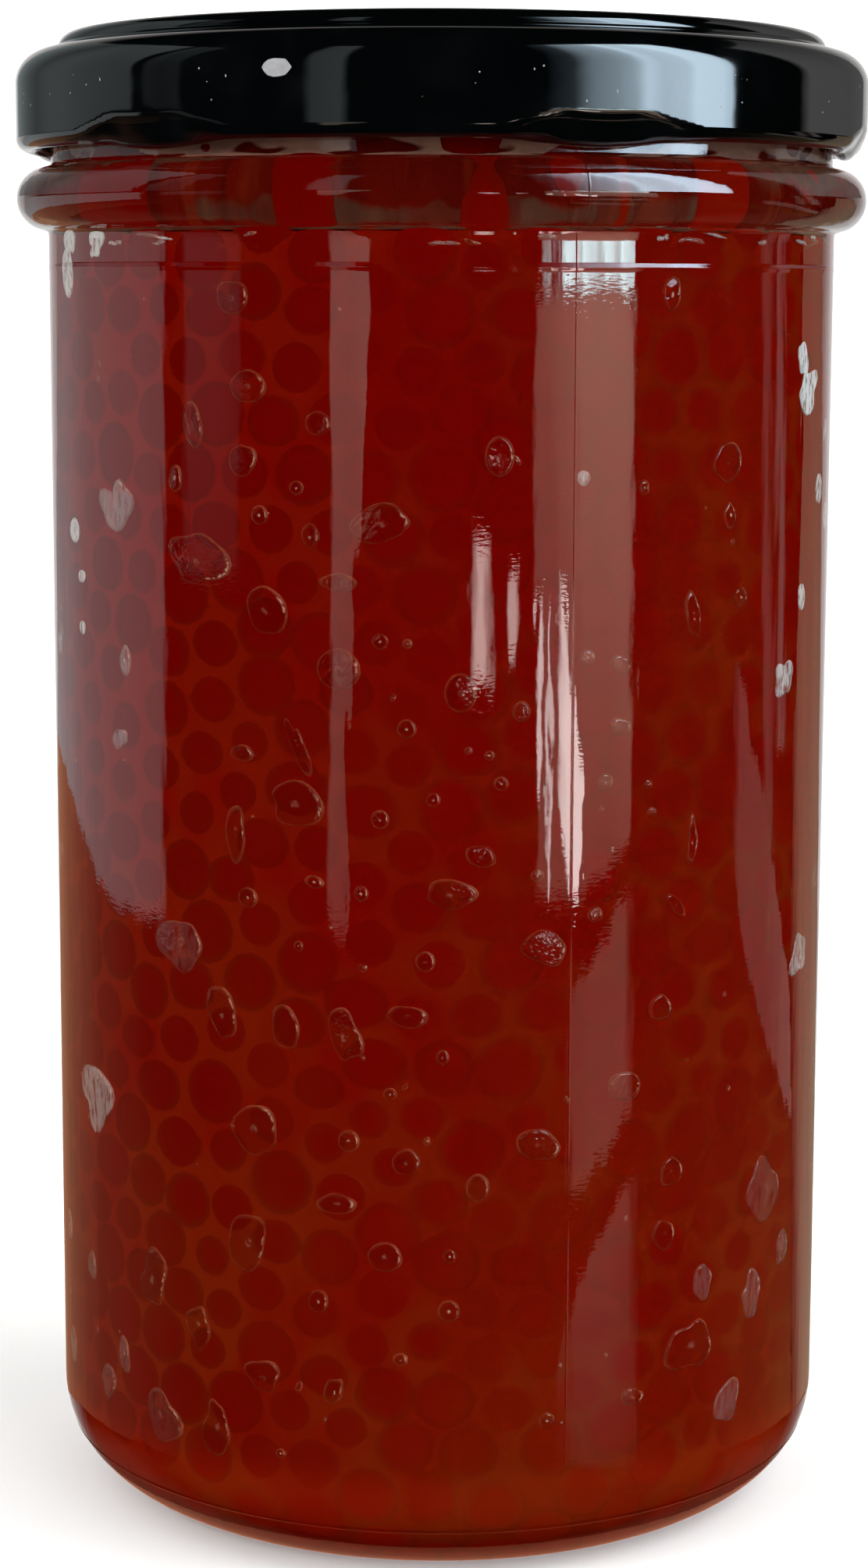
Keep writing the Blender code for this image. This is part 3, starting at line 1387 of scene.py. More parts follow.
@dataclass
class LidMarks:
    """Dust on the lid's skirt, and one small chip in its lacquer."""

    lid: TwistOffLid
    view: Viewpoint
    chip_at: Point = (354.0, 86.0)
    chip_size: Point = (3.3, 2.1)
    specks: int = 60
    speck_sizes: Point = (0.06, 0.22)
    speck_slimness: Point = (0.6, 2.0)
    reach: Point = (0.32, 0.5)
    band: Point = (139.5, 142.9)
    proud: float = 0.02
    rim_proud: float = 0.2
    sides: int = 14
    seed: int = 8

    def patch(self, middle: Point, size: Point, rng: random.Random) -> np.ndarray:
        """Return an uneven patch on the skirt: its middle, then its rim.

        Args:
            middle: Its angle round the lid in radians, and its height.
            size: Its width and height.
            rng: Where its unevenness is drawn from.

        Returns:
            Its points, the middle first.
        """
        around = np.arange(self.sides) * 2.0 * math.pi / self.sides
        reach = np.array([rng.uniform(*self.reach) for _ in around])
        reach = (reach + np.roll(reach, 1) + np.roll(reach, -1)) / 3.0
        across = np.concatenate([[0.0], size[0] * reach * np.cos(around)])
        up = np.concatenate([[0.0], size[1] * reach * np.sin(around)])
        radius = np.full(len(across), self.lid.radius + self.rim_proud * self.proud)
        radius[0] = self.lid.radius + self.proud
        return round_jar(middle[0] + across / self.lid.radius, radius, middle[1] + up)

    def build(self) -> bpy.types.Object:
        """Make the marks as one piece, on the lid.

        Returns:
            The marks, as one piece.
        """
        rng = random.Random(self.seed)
        chip = self.view.on_cylinder(self.chip_at, self.lid.radius)
        patches = [self.patch((math.atan2(chip.x, -chip.y), chip.z), self.chip_size, rng)]
        for _ in range(self.specks):
            width = rng.uniform(*self.speck_sizes)
            middle = (rng.uniform(-math.pi, math.pi), rng.uniform(*self.band))
            size = (width, width * rng.uniform(*self.speck_slimness))
            patches.append(self.patch(middle, size, rng))
        sides = self.sides
        starts = range(0, len(patches) * (sides + 1), sides + 1)
        faces = [(n, n + 1 + a, n + 1 + (a + 1) % sides) for n in starts for a in range(sides)]
        points = (np.concatenate(patches) * MM).tolist()
        piece = made("lid_marks", points, faces, [PaleDust().material()])
        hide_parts("lid")
        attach(piece, "root")
        return piece


# ---- the contents


@dataclass(frozen=True)
class EggLayer:
    """One layer of eggs: how far behind the glass it lies, and how its eggs are laid.

    Its pitch is the rough distance between eggs, and sinks is how much deeper an egg may lie.
    """

    name: str
    inset: float
    pitch: float
    sinks: float
    segments: int
    rings: int


@dataclass
class RoeHeap:
    """The eggs: one layer pressed on the glass, one behind it, and the core they hide."""

    jar: GlassJar
    egg: float = 6.1
    egg_spread: float = 0.42
    egg_limits: Point = (5.5, 7.0)
    squash: float = 1.9
    behind: float = 2.3
    push: float = 0.10
    ring_shift: float = 0.45
    top: float = 143.0
    top_margin: float = 1.0
    row_spacing: float = 0.866
    jitter_across: float = 0.35
    jitter_up: float = 0.3
    loose_above: float = 128.8
    loose_at_glass: float = 0.22
    loose_gap: float = 0.1
    rounds: int = 30
    yielding: float = 0.35
    near_wall: float = 0.01
    flat_from: float = 1.6
    flat_over: float = 1.2
    outward_bias: float = 0.3
    core_inset: float = 5.2
    core_segments: int = 96
    tiny: float = 1e-6
    seed: int = 5

    def layers(self) -> list[EggLayer]:
        """Return the layers, from the glass inwards."""
        return [
            EggLayer("roe_at_glass", self.egg / 2.0 - self.squash, 5.75, 0.5, 12, 6),
            EggLayer("roe_behind", self.egg / 2.0 + self.behind, 5.9, 0.8, 8, 5),
        ]

    def path(self, inset: float) -> np.ndarray:
        """Return the inner surface's outline from the floor's middle, drawn in.

        Args:
            inset: How far it is drawn in.

        Returns:
            Points (r, z), from the floor up.
        """
        jar = self.jar
        points = [(0.0, jar.floor + inset)]
        points += arc(jar.floor_corner, jar.floor_fillet - inset, -90.0, 0.0, 8)
        points += [(jar.inside - inset, jar.throat_start), (jar.bore - inset, jar.throat_end)]
        points += [(jar.bore - inset, self.top - inset), (0.0, self.top - inset)]
        return np.array(straight_runs(points, 1.0))

    def strewn(self, inset: float, pitch: float, rng: np.random.Generator) -> np.ndarray:
        """Return rough places for eggs all over the path's surface, in jittered rows.

        Args:
            inset: How far behind the glass they lie.
            pitch: The rough distance between them.
            rng: Where the jitter is drawn from.

        Returns:
            The places, one row each.
        """
        path = self.path(inset)
        steps = np.linalg.norm(np.diff(path, axis=0), axis=1)
        lengths = np.concatenate([[0.0], np.cumsum(steps)])
        rows = int(lengths[-1] / (pitch * self.row_spacing))
        places = []
        for row in range(rows + 1):
            at = lengths[-1] * row / rows
            r, z = np.interp(at, lengths, path[:, 0]), np.interp(at, lengths, path[:, 1])
            count = max(1, round(2.0 * math.pi * r / pitch))
            numbers = np.arange(count) + rng.random() + rng.normal(0.0, self.jitter_across, count)
            jitter = rng.normal(0.0, self.jitter_up * pitch, count)
            places.append(round_jar(numbers * 2 * math.pi / count, r, z + jitter))
        return np.concatenate(places)

    def spread_apart(self, places: np.ndarray, sizes: np.ndarray, inset: float) -> np.ndarray:
        """Push overlapping eggs apart while they stay on the path's surface.

        Args:
            places: The eggs' centres.
            sizes: Their diameters.
            inset: How far behind the glass they lie.

        Returns:
            The settled centres.
        """
        path = self.path(inset)
        apart = (sizes[:, None] + sizes[None, :]) / 2.0
        for _ in range(self.rounds):
            gap = places[:, None, :] - places[None, :, :]
            distance = np.linalg.norm(gap, axis=2) + self.tiny
            np.fill_diagonal(distance, 1.0 / self.tiny)
            overlap = np.maximum(apart - distance, 0.0)
            places = places + (gap * (self.yielding * overlap / distance)[:, :, None]).sum(axis=1)
            flat = np.stack([np.hypot(places[:, 0], places[:, 1]), places[:, 2]], axis=1)
            away = ((flat[:, None, :] - path[None, :, :]) ** 2).sum(axis=2)
            reached = path[np.argmin(away, axis=1)]
            reached[:, 1] = np.where(
                np.abs(reached[:, 0] - (self.jar.inside - inset)) < self.near_wall,
                np.clip(flat[:, 1], self.jar.floor_corner[1], self.jar.throat_start),
                reached[:, 1],
            )
            scale = reached[:, 0] / np.maximum(flat[:, 0], self.tiny)
            places = np.stack([places[:, 0] * scale, places[:, 1] * scale, reached[:, 1]], axis=1)
        return places

    def facing(self, places: np.ndarray, inset: float) -> np.ndarray:
        """Return the way from each egg to the glass it rests on.

        Args:
            places: The eggs' centres, or points on them.
            inset: How far behind the glass they lie.

        Returns:
            A direction of length 1 for each place.
        """
        across, down = (np.maximum(past, 0.0) for past in self.jar.past_corner(places))
        radius = np.maximum(np.hypot(places[:, 0], places[:, 1]), self.tiny)
        top = np.maximum(places[:, 2] - (self.top - inset - self.top_margin), 0.0)
        way = [places[:, 0] / radius * across, places[:, 1] / radius * across, top - down]
        way = np.stack(way, axis=1)
        length = np.linalg.norm(way, axis=1, keepdims=True)
        upright = np.array([[0.0, 0.0, 1.0]])
        return np.where(length > self.tiny, way / np.maximum(length, self.tiny), upright)

    def layer(self, layer: EggLayer, skin: bpy.types.Material) -> bpy.types.Object:
        """Make one layer of eggs.

        Args:
            layer: How it is laid.
            skin: The eggs' finish.

        Returns:
            The layer, as one mesh with depth and tone attributes.
        """
        rng = np.random.default_rng(self.seed + len(layer.name))
        places = self.strewn(layer.inset, layer.pitch, rng)
        sizes = np.clip(rng.normal(self.egg, self.egg_spread, len(places)), *self.egg_limits)
        places = self.spread_apart(places, sizes, layer.inset)
        facing = self.facing(places, layer.inset)
        back = rng.random(len(places)) ** 2 * layer.sinks
        loose = (places[:, 2] > self.loose_above) & (rng.random(len(places)) > self.loose_at_glass)
        loose_back = self.egg / 2.0 - layer.inset + self.loose_gap
        places = places - facing * np.where(loose, loose_back, back)[:, None]
        piece = made(layer.name, (places * MM).tolist(), [], girth=sizes * MM)
        ways = piece.data.attributes.new("facing", "FLOAT_VECTOR", "POINT")
        ways.data.foreach_set("vector", facing.ravel())
        self.put_eggs(piece, layer, skin)
        self.press_on_glass(piece.data)
        return piece

    def put_eggs(
        self, piece: bpy.types.Object, layer: EggLayer, skin: bpy.types.Material
    ) -> bpy.types.Object:
        """Put an egg on every point, its pole towards the glass, and make one mesh of them.

        Args:
            piece: The points, each with the way it faces and its girth.
            layer: How many faces an egg has.
            skin: The eggs' finish.

        Returns:
            The piece, now with the eggs.
        """
        scatter = Scatter(f"{piece.name}_scatter")
        counts = {
            "Segments": scatter.named("Segments", "NodeSocketInt", layer.segments),
            "Rings": scatter.named("Rings", "NodeSocketInt", layer.rings),
        }
        seed = scatter.named("Seed", "NodeSocketInt", self.seed)
        egg = scatter.add("GeometryNodeMeshUVSphere", inputs={**counts, "Radius": 0.5})
        facing, girth = (
            scatter.add("GeometryNodeInputNamedAttribute", {"data_type": kind}, {"Name": name})
            for name, kind in (("facing", "FLOAT_VECTOR"), ("girth", "FLOAT"))
        )
        turn = scatter.add("FunctionNodeAlignRotationToVector", {"axis": "Z"}, {"Vector": facing})
        shift = (0.0, 0.0, self.ring_shift / 2.0)
        place = scatter.add("GeometryNodeInputPosition")
        moved = scatter.add("ShaderNodeVectorMath", {"operation": "ADD"}, {0: place, 1: shift})
        unit = scatter.add("ShaderNodeVectorMath", {"operation": "NORMALIZE"}, {0: moved})
        scaled = {0: unit, "Scale": 0.5}
        sized = scatter.add("ShaderNodeVectorMath", {"operation": "SCALE"}, scaled)
        ball = {"Geometry": egg, "Position": sized}
        rounded = scatter.add("GeometryNodeSetPosition", inputs=ball)
        laid = {"Points": scatter.source, "Instance": rounded, "Rotation": turn, "Scale": girth}
        eggs = scatter.add("GeometryNodeInstanceOnPoints", inputs=laid)
        draw = scatter.add("FunctionNodeRandomValue", {"data_type": "FLOAT"}, {"Seed": seed})
        toned = scatter.add(
            "GeometryNodeStoreNamedAttribute",
            {"data_type": "FLOAT", "domain": "INSTANCE"},
            {"Geometry": eggs, "Name": "tone", "Value": draw.outputs[1]},
        )
        return scatter.finish(piece, toned, skin)

    def press_on_glass(self, mesh: bpy.types.Mesh) -> None:
        """Flatten what would pass through the glass, and note each point's depth behind it.

        Args:
            mesh: A layer's eggs.
        """
        points = np.empty(len(mesh.vertices) * 3, np.float32)
        mesh.vertices.foreach_get("co", points)
        points = points.reshape(-1, 3).astype(float) / MM
        depth = self.jar.depth_inside(points)
        excess = np.maximum(-self.push - depth, 0.0)
        points = points - self.facing(points, 0.0) * excess[:, None]
        mesh.vertices.foreach_set("co", (points * MM).astype(np.float32).ravel())
        hold(mesh, "depth", depth.astype(np.float32))
        mesh.update()
        own = np.empty(len(mesh.vertices) * 3, np.float32)
        mesh.vertex_normals.foreach_get("vector", own)
        own = own.reshape(-1, 3)
        flat = np.clip((self.flat_from - depth) / self.flat_over, 0.0, 1.0)[:, None]
        outward = self.facing(points, 0.0)
        agreeing = (own * outward).sum(axis=1, keepdims=True) + self.outward_bias
        facing_out = flat * np.sign(agreeing)
        blend = own * (1.0 - np.abs(facing_out)) + outward * facing_out
        mesh.normals_split_custom_set_from_vertices(blend.tolist())

    def core(self, skin: bpy.types.Material) -> bpy.types.Object:
        """Make the plain heart of the heap, which only shows as darkness between eggs.

        Args:
            skin: Its finish.

        Returns:
            The heart, as one piece.
        """
        inset = self.core_inset
        outline = [(float(r), float(z)) for r, z in self.path(inset)[::-3]]
        outline[0] = (0.0, outline[0][1])
        outline.append((0.0, self.jar.floor + inset))
        piece = turned("roe_core", outline, self.core_segments, [skin])
        hold(piece.data, "depth", np.full(len(piece.data.vertices), inset, np.float32))
        return piece

    def build(self) -> list[bpy.types.Object]:
        """Make the heap in the place of its solid.

        Returns:
            The layers and the heart.
        """
        skin = RoeSkin().material()
        pieces = [self.layer(layer, skin) for layer in self.layers()] + [self.core(skin)]
        for piece in pieces:
            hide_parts("roe")
            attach(piece, "root")
        return pieces


@dataclass
class BrineFill:
    """The liquid round the eggs, up to just under the bead.

    A wave is how many times it rises round the jar, how high it is and where it starts.
    """

    jar: GlassJar
    into_wall: float = 0.05
    meniscus: float = 0.5
    meniscus_width: float = 1.2
    wave: float = 0.175
    waves: tuple[Point3, ...] = ((3.0, 1.0, 0.6), (7.0, 0.6, 0.0), (17.0, 0.4, 0.0))
    wave_low: float = 1.0
    wave_blur: float = 0.8
    wave_width: float = 0.5
    step: float = 4.0
    segments: int = 192

    def wavy(
        self, radius: np.ndarray, height: np.ndarray, angle_deg: np.ndarray
    ) -> tuple[np.ndarray, np.ndarray]:
        """Let the top edge climb and dip round the jar.

        Args:
            radius: Each point's radius.
            height: Each point's height.
            angle_deg: Each point's angle round the jar.

        Returns:
            The new radius and height.
        """
        angle = np.radians(angle_deg)
        swell = sum(high * np.sin(count * angle + start) for count, high, start in self.waves)
        low = self.jar.brine_level - self.wave_low
        at_edge = np.clip((height - low) / self.wave_blur, 0.0, 1.0)
        at_edge = at_edge * (radius > self.edge() - self.wave_width)
        return radius, height + self.wave * swell * at_edge

    def edge(self) -> float:
        """Return the radius of the brine's top edge."""
        return float(self.jar.inner_radius(np.array(self.jar.brine_level))) + self.into_wall

    def build(self) -> bpy.types.Object:
        """Make the brine, which reaches just into the wall.

        Returns:
            The brine.
        """
        level, edge = self.jar.brine_level, self.edge()
        surface = [
            (0.0, level - self.meniscus),
            (edge - self.meniscus_width, level - self.meniscus),
            (edge, level),
            (self.jar.inside + self.into_wall, self.jar.throat_start),
        ]
        heel_radius = self.jar.floor_fillet + self.into_wall
        heel = arc(self.jar.floor_corner, heel_radius, 0.0, -90.0, 10)
        floor = [(0.0, self.jar.floor - self.into_wall)]
        outline = straight_runs(surface + heel + floor, self.step)
        brine = Brine().material()
        piece = turned("brine_fill", outline, self.segments, [brine], warp=self.wavy)
        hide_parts("roe")
        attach(piece, "root")
        return piece


# Where the camera sees each pocket, its width and height there, and, where they aren't 0,
# how far it leans, how uneven it is and how much pale painted sheen it has.
SEEN_POCKETS = (
    (298, 382, 44, 42, 0, 0.3), (318, 495, 46, 44, 0, 0.1), (408, 543, 34, 32, 0, 0.1),
    (247, 545, 26, 60, -10, 0.2), (311, 588, 34, 44, 10, 0.3), (225, 612, 18, 38, 0, 0.2),
    (380, 625, 20, 20), (333, 660, 22, 26), (398, 688, 24, 34, 0, 0.3),
    (491, 672, 82, 46, -12, 0.4), (640, 585, 38, 54), (747, 613, 18, 20, 0, 0.2, 0.3),
    (860, 378, 26, 42, 0, 0.3), (930, 592, 34, 54, 0, 0.4), (340, 783, 48, 68, -10, 0.4),
    (433, 857, 56, 54, 0, 0.1), (487, 822, 22, 22), (522, 825, 14, 14), (436, 747, 46, 26, 0, 0.3),
    (590, 888, 42, 52), (752, 842, 22, 22), (795, 850, 30, 22, 20, 0.3), (668, 912, 24, 28),
    (250, 722, 64, 74, 25, 0.9), (310, 965, 30, 24, 0, 0.2), (378, 1030, 72, 56, 12, 0.5),
    (380, 950, 20, 70, -20, 0.9), (303, 1065, 28, 70, 0, 0.5), (521, 934, 26, 26),
    (487, 1050, 24, 26), (615, 1098, 40, 30, 20, 0.2), (575, 1147, 66, 38, 5, 0.4),
    (555, 1025, 20, 20), (600, 962, 13, 13), (627, 968, 15, 15), (642, 1004, 20, 20),
    (318, 1150, 26, 28), (403, 1130, 26, 18, 10), (697, 1212, 62, 42, 25, 0.4), (688, 1122, 18, 18),
    (762, 1172, 20, 22), (795, 930, 30, 22, 20, 0.2), (775, 1002, 20, 24, 10),
    (235, 1205, 54, 70, 0, 0.7, 0.02), (285, 1300, 34, 76, -15, 0.4), (367, 1318, 36, 60, -15, 0.3),
    (440, 1330, 40, 70, -10, 0.6), (522, 1302, 54, 30, 10, 0.3), (545, 1232, 26, 28),
    (383, 1212, 14, 16), (463, 1145, 20, 22), (465, 1240, 13, 13), (567, 1355, 18, 22),
    (500, 1402, 18, 18), (327, 1445, 56, 68, -25, 0.4), (447, 1462, 28, 30),
    (521, 1490, 36, 36, 0, 0.2), (432, 1542, 52, 28, 0, 0.3), (320, 1592, 50, 74, 20, 0.5),
    (493, 1610, 44, 40, 0, 0.1), (576, 1610, 18, 20), (408, 1667, 26, 32, 10), (575, 1680, 28, 30),
    (612, 1522, 30, 38), (690, 1468, 56, 42, 15, 0.3), (800, 1392, 44, 38, 10, 0.2),
    (885, 1722, 56, 66, 15, 0.6), (850, 1580, 30, 38, 0, 0.5), (860, 1500, 28, 40, 0, 0.4),
    (845, 1290, 28, 36, 0, 0.3), (865, 1160, 34, 16, 45, 0.3), (885, 1080, 14, 60, 0, 0.6),
    (888, 790, 18, 70, -15, 0.5), (948, 765, 18, 26), (935, 660, 16, 34, -15, 0.4),
    (830, 1005, 12, 14), (835, 1040, 14, 14), (825, 625, 14, 22), (86, 345, 15, 66, 3, 0.4, 0.95),
    (90, 306, 17, 44, 12, 0.9, 0.95), (122, 314, 19, 40, 25, 0.9, 0.95),
    (148, 645, 40, 66, -45, 0.9, 0.12), (96, 680, 14, 32, 0, 0.2, 0.95),
    (105, 738, 10, 18, 0, 0.2, 0.8), (106, 804, 9, 18, 0, 0.2, 0.8),
    (161, 846, 16, 40, 0, 0.3, 0.1), (155, 946, 22, 26, -30, 0.5, 0.1),
    (120, 1400, 40, 76, -30, 0.9, 0.2), (1034, 500, 26, 50, -10, 0.9, 0.95),
    (1029, 462, 14, 44, -5, 0.5, 0.95), (1049, 625, 12, 40, 0, 0.2, 0.8),
    (1026, 765, 10, 36, 0, 0.2, 0.7), (1005, 865, 22, 50, 25, 0.9, 0.5),
    (1025, 1225, 18, 56, 25, 0.9, 0.3), (980, 1520, 40, 80, -10, 0.7, 0.03),
    (95, 1723, 12, 46, 4, 0.3, 0.08), (160, 1732, 15, 48, -4, 0.4, 0.04),
    (139, 1768, 20, 42, 6, 0.5, 0.03), (206, 1812, 40, 66, -10, 0.7, 0.01),
    (280, 1826, 32, 74, -8, 0.7), (338, 1766, 44, 40, -20, 0.9, 0), (428, 1784, 22, 40, 14, 0.5),
    (513, 1742, 20, 18), (360, 1862, 14, 14), (196, 1640, 34, 70, 12, 0.8, 0),
    (256, 1694, 26, 60, -6, 0.8), (90, 1570, 10, 40, 2, 0.3, 0.12),
    (118, 1620, 12, 36, 6, 0.4, 0.05), (900, 1640, 26, 44, 10, 0.6, 0.05),
    (960, 1660, 24, 60, -8, 0.7, 0.06), (1000, 1600, 14, 50, 6, 0.5, 0.06),
    (930, 1800, 34, 50, -14, 0.8, 0.05), (700, 1820, 20, 22), (810, 1790, 28, 24, 12, 0.4),
)


@dataclass(frozen=True)
class Pocket:
    """A pocket of air at the glass, given by where the camera sees it and how large."""

    x: float
    y: float
    width: float
    height: float
    lean_deg: float = 0.0
    lumpy: float = 0.0
    frost: float = 0.0


@dataclass(frozen=True)
class PocketRing:
    """One ring of a pocket's section, at a share of its outline.

    The share is full - narrowing * edge, and never under least. The rise is how far it stands
    out, as a share of the pocket's own, and the rim is how much painted reflected light it shows.
    """

    full: float
    narrowing: float
    least: float
    rise: float
    rim: float


Blister = tuple[Point, np.ndarray, float]


@dataclass
class AirPockets:
    """Flat pockets of air between the glass and the eggs.

    Those seen are where the camera sees them. Others are strewn round the sides and back, small
    ones are strewn over the front, and a line of foam lies along the brine's top edge.
    """

    jar: GlassJar
    view: Viewpoint
    proud: float = 0.30
    edge: float = 0.28
    most_edge: float = 0.8
    least_cosine: float = 0.35
    strewn: int = 260
    strewn_deg: Point = (75.0, 285.0)
    strewn_widths: Point = (0.5, 2.6)
    strewn_frost: float = 0.6
    small: int = 70
    small_deg: Point = (-70.0, 70.0)
    small_widths: Point = (0.35, 0.8)
    slimness: Point = (0.8, 1.8)
    strewn_lumpy: float = 0.6
    strewn_lean_deg: float = 40.0
    margin: float = 2.0
    foam: int = 70
    foam_widths: Point = (0.5, 3.2)
    foam_heights: Point = (0.25, 0.6)
    foam_depths: Point = (0.2, 1.3)
    foam_lean_deg: float = 14.0
    foam_lumpy: float = 0.8
    foam_frost: float = 0.5
    lobes: int = 5
    lobe_depths: Point = (0.5, 1.2)
    segments: int = 26
    strewn_segments: int = 16
    seed: int = 21
    rim_least: float = 0.35
    rim_turn: float = 0.3
    glint_turn: float = 0.15
    glint_gain: float = 6.0
    glint_cut: float = 4.8
    glint_ring: int = 3
    dot_below: float = 2.2
    dot_shine: float = 0.8
    large_dot_shine: float = 0.12
    profile: tuple[PocketRing, ...] = (
        PocketRing(0.10, 0.0, 0.0, 1.03, 0.0),
        PocketRing(0.20, 0.0, 0.0, 1.02, 0.0),
        PocketRing(0.9, 0.9, 0.22, 1.01, 0.0),
        PocketRing(1.0, 1.0, 0.24, 1.0, 0.0),
        PocketRing(1.0, 0.55, 0.0, 0.9, 0.5),
        PocketRing(1.0, 0.25, 0.0, 0.62, 1.0),
        PocketRing(1.0, 0.0, 0.0, 0.1, 1.0),
        PocketRing(1.0, 0.3, 0.0, -0.5, 1.0),
        PocketRing(0.5, 0.0, 0.0, -0.6, 0.0),
    )
    seen: tuple[Pocket, ...] = tuple(Pocket(*row) for row in SEEN_POCKETS)

    def outline(
        self, size: Point, lean_deg: float, lumpy: float, rng: random.Random, segments: int
    ) -> np.ndarray:
        """Return a pocket's outline round its middle, in millimetres across and up.

        Args:
            size: Its width and height in millimetres.
            lean_deg: How far it leans to the right.
            lumpy: How uneven it is, from 0 to 1.
            rng: Where its lobes are drawn from.
            segments: How many points it has.

        Returns:
            Its points, across and up.
        """
        around = np.arange(segments) * 2.0 * math.pi / segments
        swell = np.ones(segments)
        for lobes in range(1, self.lobes + 1):
            depth = lumpy * 0.5 / (lobes + 0.6) * rng.uniform(*self.lobe_depths)
            swell += depth * np.cos(lobes * around + rng.uniform(0.0, 2.0 * math.pi))
        across = size[0] / 2.0 * swell * np.cos(around)
        up = size[1] / 2.0 * swell * np.sin(around)
        lean = math.radians(lean_deg)
        leaning = across * math.cos(lean) + up * math.sin(lean)
        return np.stack([leaning, up * math.cos(lean) - across * math.sin(lean)], axis=1)

    def blister(self, middle: Point, outline: np.ndarray) -> np.ndarray:
        """Return rings of points of one pocket, from its front's middle to its back's.

        Args:
            middle: Its angle round the jar in degrees, and its height.
            outline: Its outline across and up.

        Returns:
            The points, ring by ring.
        """
        half = min(np.abs(outline).max(axis=0))
        edge = min(self.edge, half * self.most_edge) / half
        wall = self.jar.inside
        rings = []
        for ring in self.profile:
            share = max(ring.least, ring.full - ring.narrowing * edge)
            angle = math.radians(middle[0]) + outline[:, 0] * share / wall
            radius = wall + self.proud * ring.rise * min(1.0, half)
            rings.append(round_jar(angle, radius, middle[1] + outline[:, 1] * share))
        return np.stack(rings)

    def seen_blisters(self, rng: random.Random) -> list[Blister]:
        """Return the middle, outline and painted sheen of each pocket where the camera sees it.

        Args:
            rng: Where their outlines are drawn from.

        Returns:
            The pockets, from the table.
        """
        blisters = []
        for pocket in self.seen:
            place = (pocket.x, pocket.y)
            point = self.view.through_glass(place, self.jar.radius, self.jar.inside)
            scale = (point - self.view.place()).length / self.view.focal_px
            angle = math.degrees(math.atan2(point.x, -point.y))
            foreshortened = max(math.cos(math.radians(angle)), self.least_cosine)
            size = (pocket.width * scale / foreshortened, pocket.height * scale)
            outline = self.outline(size, pocket.lean_deg, pocket.lumpy, rng, self.segments)
            blisters.append(((angle, point.z), outline, pocket.frost))
        return blisters

    def strewn_blisters(self, rng: random.Random) -> list[Blister]:
        """Return the pockets strewn round the sides and back, then the small ones in front.

        Args:
            rng: Where their places, sizes and outlines are drawn from.

        Returns:
            The pockets, in the order drawn.
        """
        blisters = []
        low, high = self.jar.floor_corner[1] + self.margin, self.jar.throat_start - self.margin
        for number in range(self.strewn + self.small):
            small = number >= self.strewn
            angle = rng.uniform(*(self.small_deg if small else self.strewn_deg))
            height = rng.uniform(low, high)
            if small:
                width = rng.uniform(*self.small_widths)
            else:
                width = rng.uniform(*(limit**0.5 for limit in self.strewn_widths)) ** 2
            size = (width, width * rng.uniform(*self.slimness))
            lumpy = rng.random() * self.strewn_lumpy
            lean = rng.uniform(-self.strewn_lean_deg, self.strewn_lean_deg)
            outline = self.outline(size, lean, lumpy, rng, self.strewn_segments)
            frost = 0.0 if small else self.strewn_frost * rng.random() ** 8
            blisters.append(((angle, height), outline, frost))
        return blisters

    def foam_blisters(self, rng: random.Random) -> list[Blister]:
        """Return the line of foam along the brine's top edge.

        Args:
            rng: Where its places, sizes and outlines are drawn from.

        Returns:
            The bubbles, in the order drawn.
        """
        blisters = []
        for _ in range(self.foam):
            size = (rng.uniform(*self.foam_widths), rng.uniform(*self.foam_heights))
            lean = rng.uniform(-self.foam_lean_deg, self.foam_lean_deg)
            outline = self.outline(size, lean, self.foam_lumpy, rng, self.strewn_segments)
            height = self.jar.brine_level - rng.uniform(*self.foam_depths)
            middle = (rng.uniform(0.0, 360.0), height)
            blisters.append((middle, outline, self.foam_frost * rng.random() ** 4))
        return blisters

    def glints(self, outline: np.ndarray, around: np.ndarray) -> list[float]:
        """Return how much each point of a pocket glints: an arc at its rim, and a dot inside.

        Args:
            outline: The pocket's outline, across and up.
            around: The angle of each of its points.

        Returns:
            Each point's glint, from 0 to 1.
        """
        dot = self.dot_shine if np.ptp(outline[:, 0]) < self.dot_below else self.large_dot_shine
        arcs = np.cos(around - self.glint_turn) * self.glint_gain - self.glint_cut
        rings = np.zeros((len(self.profile), len(around)))
        rings[0] = dot
        rings[self.glint_ring] = np.clip(arcs, 0.0, 1.0)
        return rings.ravel().tolist()

    def build(self) -> bpy.types.Object:
        """Make all the pockets as one piece.

        Returns:
            The pockets, as one piece.
        """
        rng = random.Random(self.seed)
        blisters = self.seen_blisters(rng) + self.strewn_blisters(rng) + self.foam_blisters(rng)
        points, faces, painted_rim_lights, painted_sheens, glints = [], [], [], [], []
        for middle, outline, frost in blisters:
            rings = self.blister(middle, outline)
            count = len(outline)
            around = np.arange(count) * 2.0 * math.pi / count
            # Painted rim light, stronger on the side that faces the lamps.
            facing_light = np.clip(np.cos(around - self.rim_turn), 0.0, 1.0) ** 2
            lit = self.rim_least + (1.0 - self.rim_least) * facing_light
            for ring in self.profile:
                painted_rim_lights += (ring.rim * lit).tolist()
            painted_sheens += [frost] * (len(self.profile) * count)
            glints += self.glints(outline, around)
            start = len(points)
            last = start + (len(rings) - 1) * count
            points += rings.reshape(-1, 3).tolist()
            for low in range(start, last, count):
                for a in range(count):
                    b = (a + 1) % count
                    faces.append((low + a, low + count + a, low + count + b, low + b))
            faces.append(tuple(range(start, start + count)))
            faces.append(tuple(range(last, last + count))[::-1])
        finishes = [TrappedAir().material()]
        points = (np.array(points) * MM).tolist()
        piece = made("air_pockets", points, faces, finishes, rim=painted_rim_lights, frost=painted_sheens, glint=glints)
        piece.data.shade_smooth()
        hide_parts("roe")
        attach(piece, "root")
        return piece


# ---- the studio


@dataclass(frozen=True)
class Column:
    """One upright line of a panel's reflection: its place, its ends and how it shines."""

    x: float
    top: float
    foot: float
    shine: float = 1.0
    foot_shine: float | None = None


def columns(*rows: Sequence[float]) -> list[Column]:
    """Return the columns whose fields stand in some rows."""
    return [Column(*row) for row in rows]


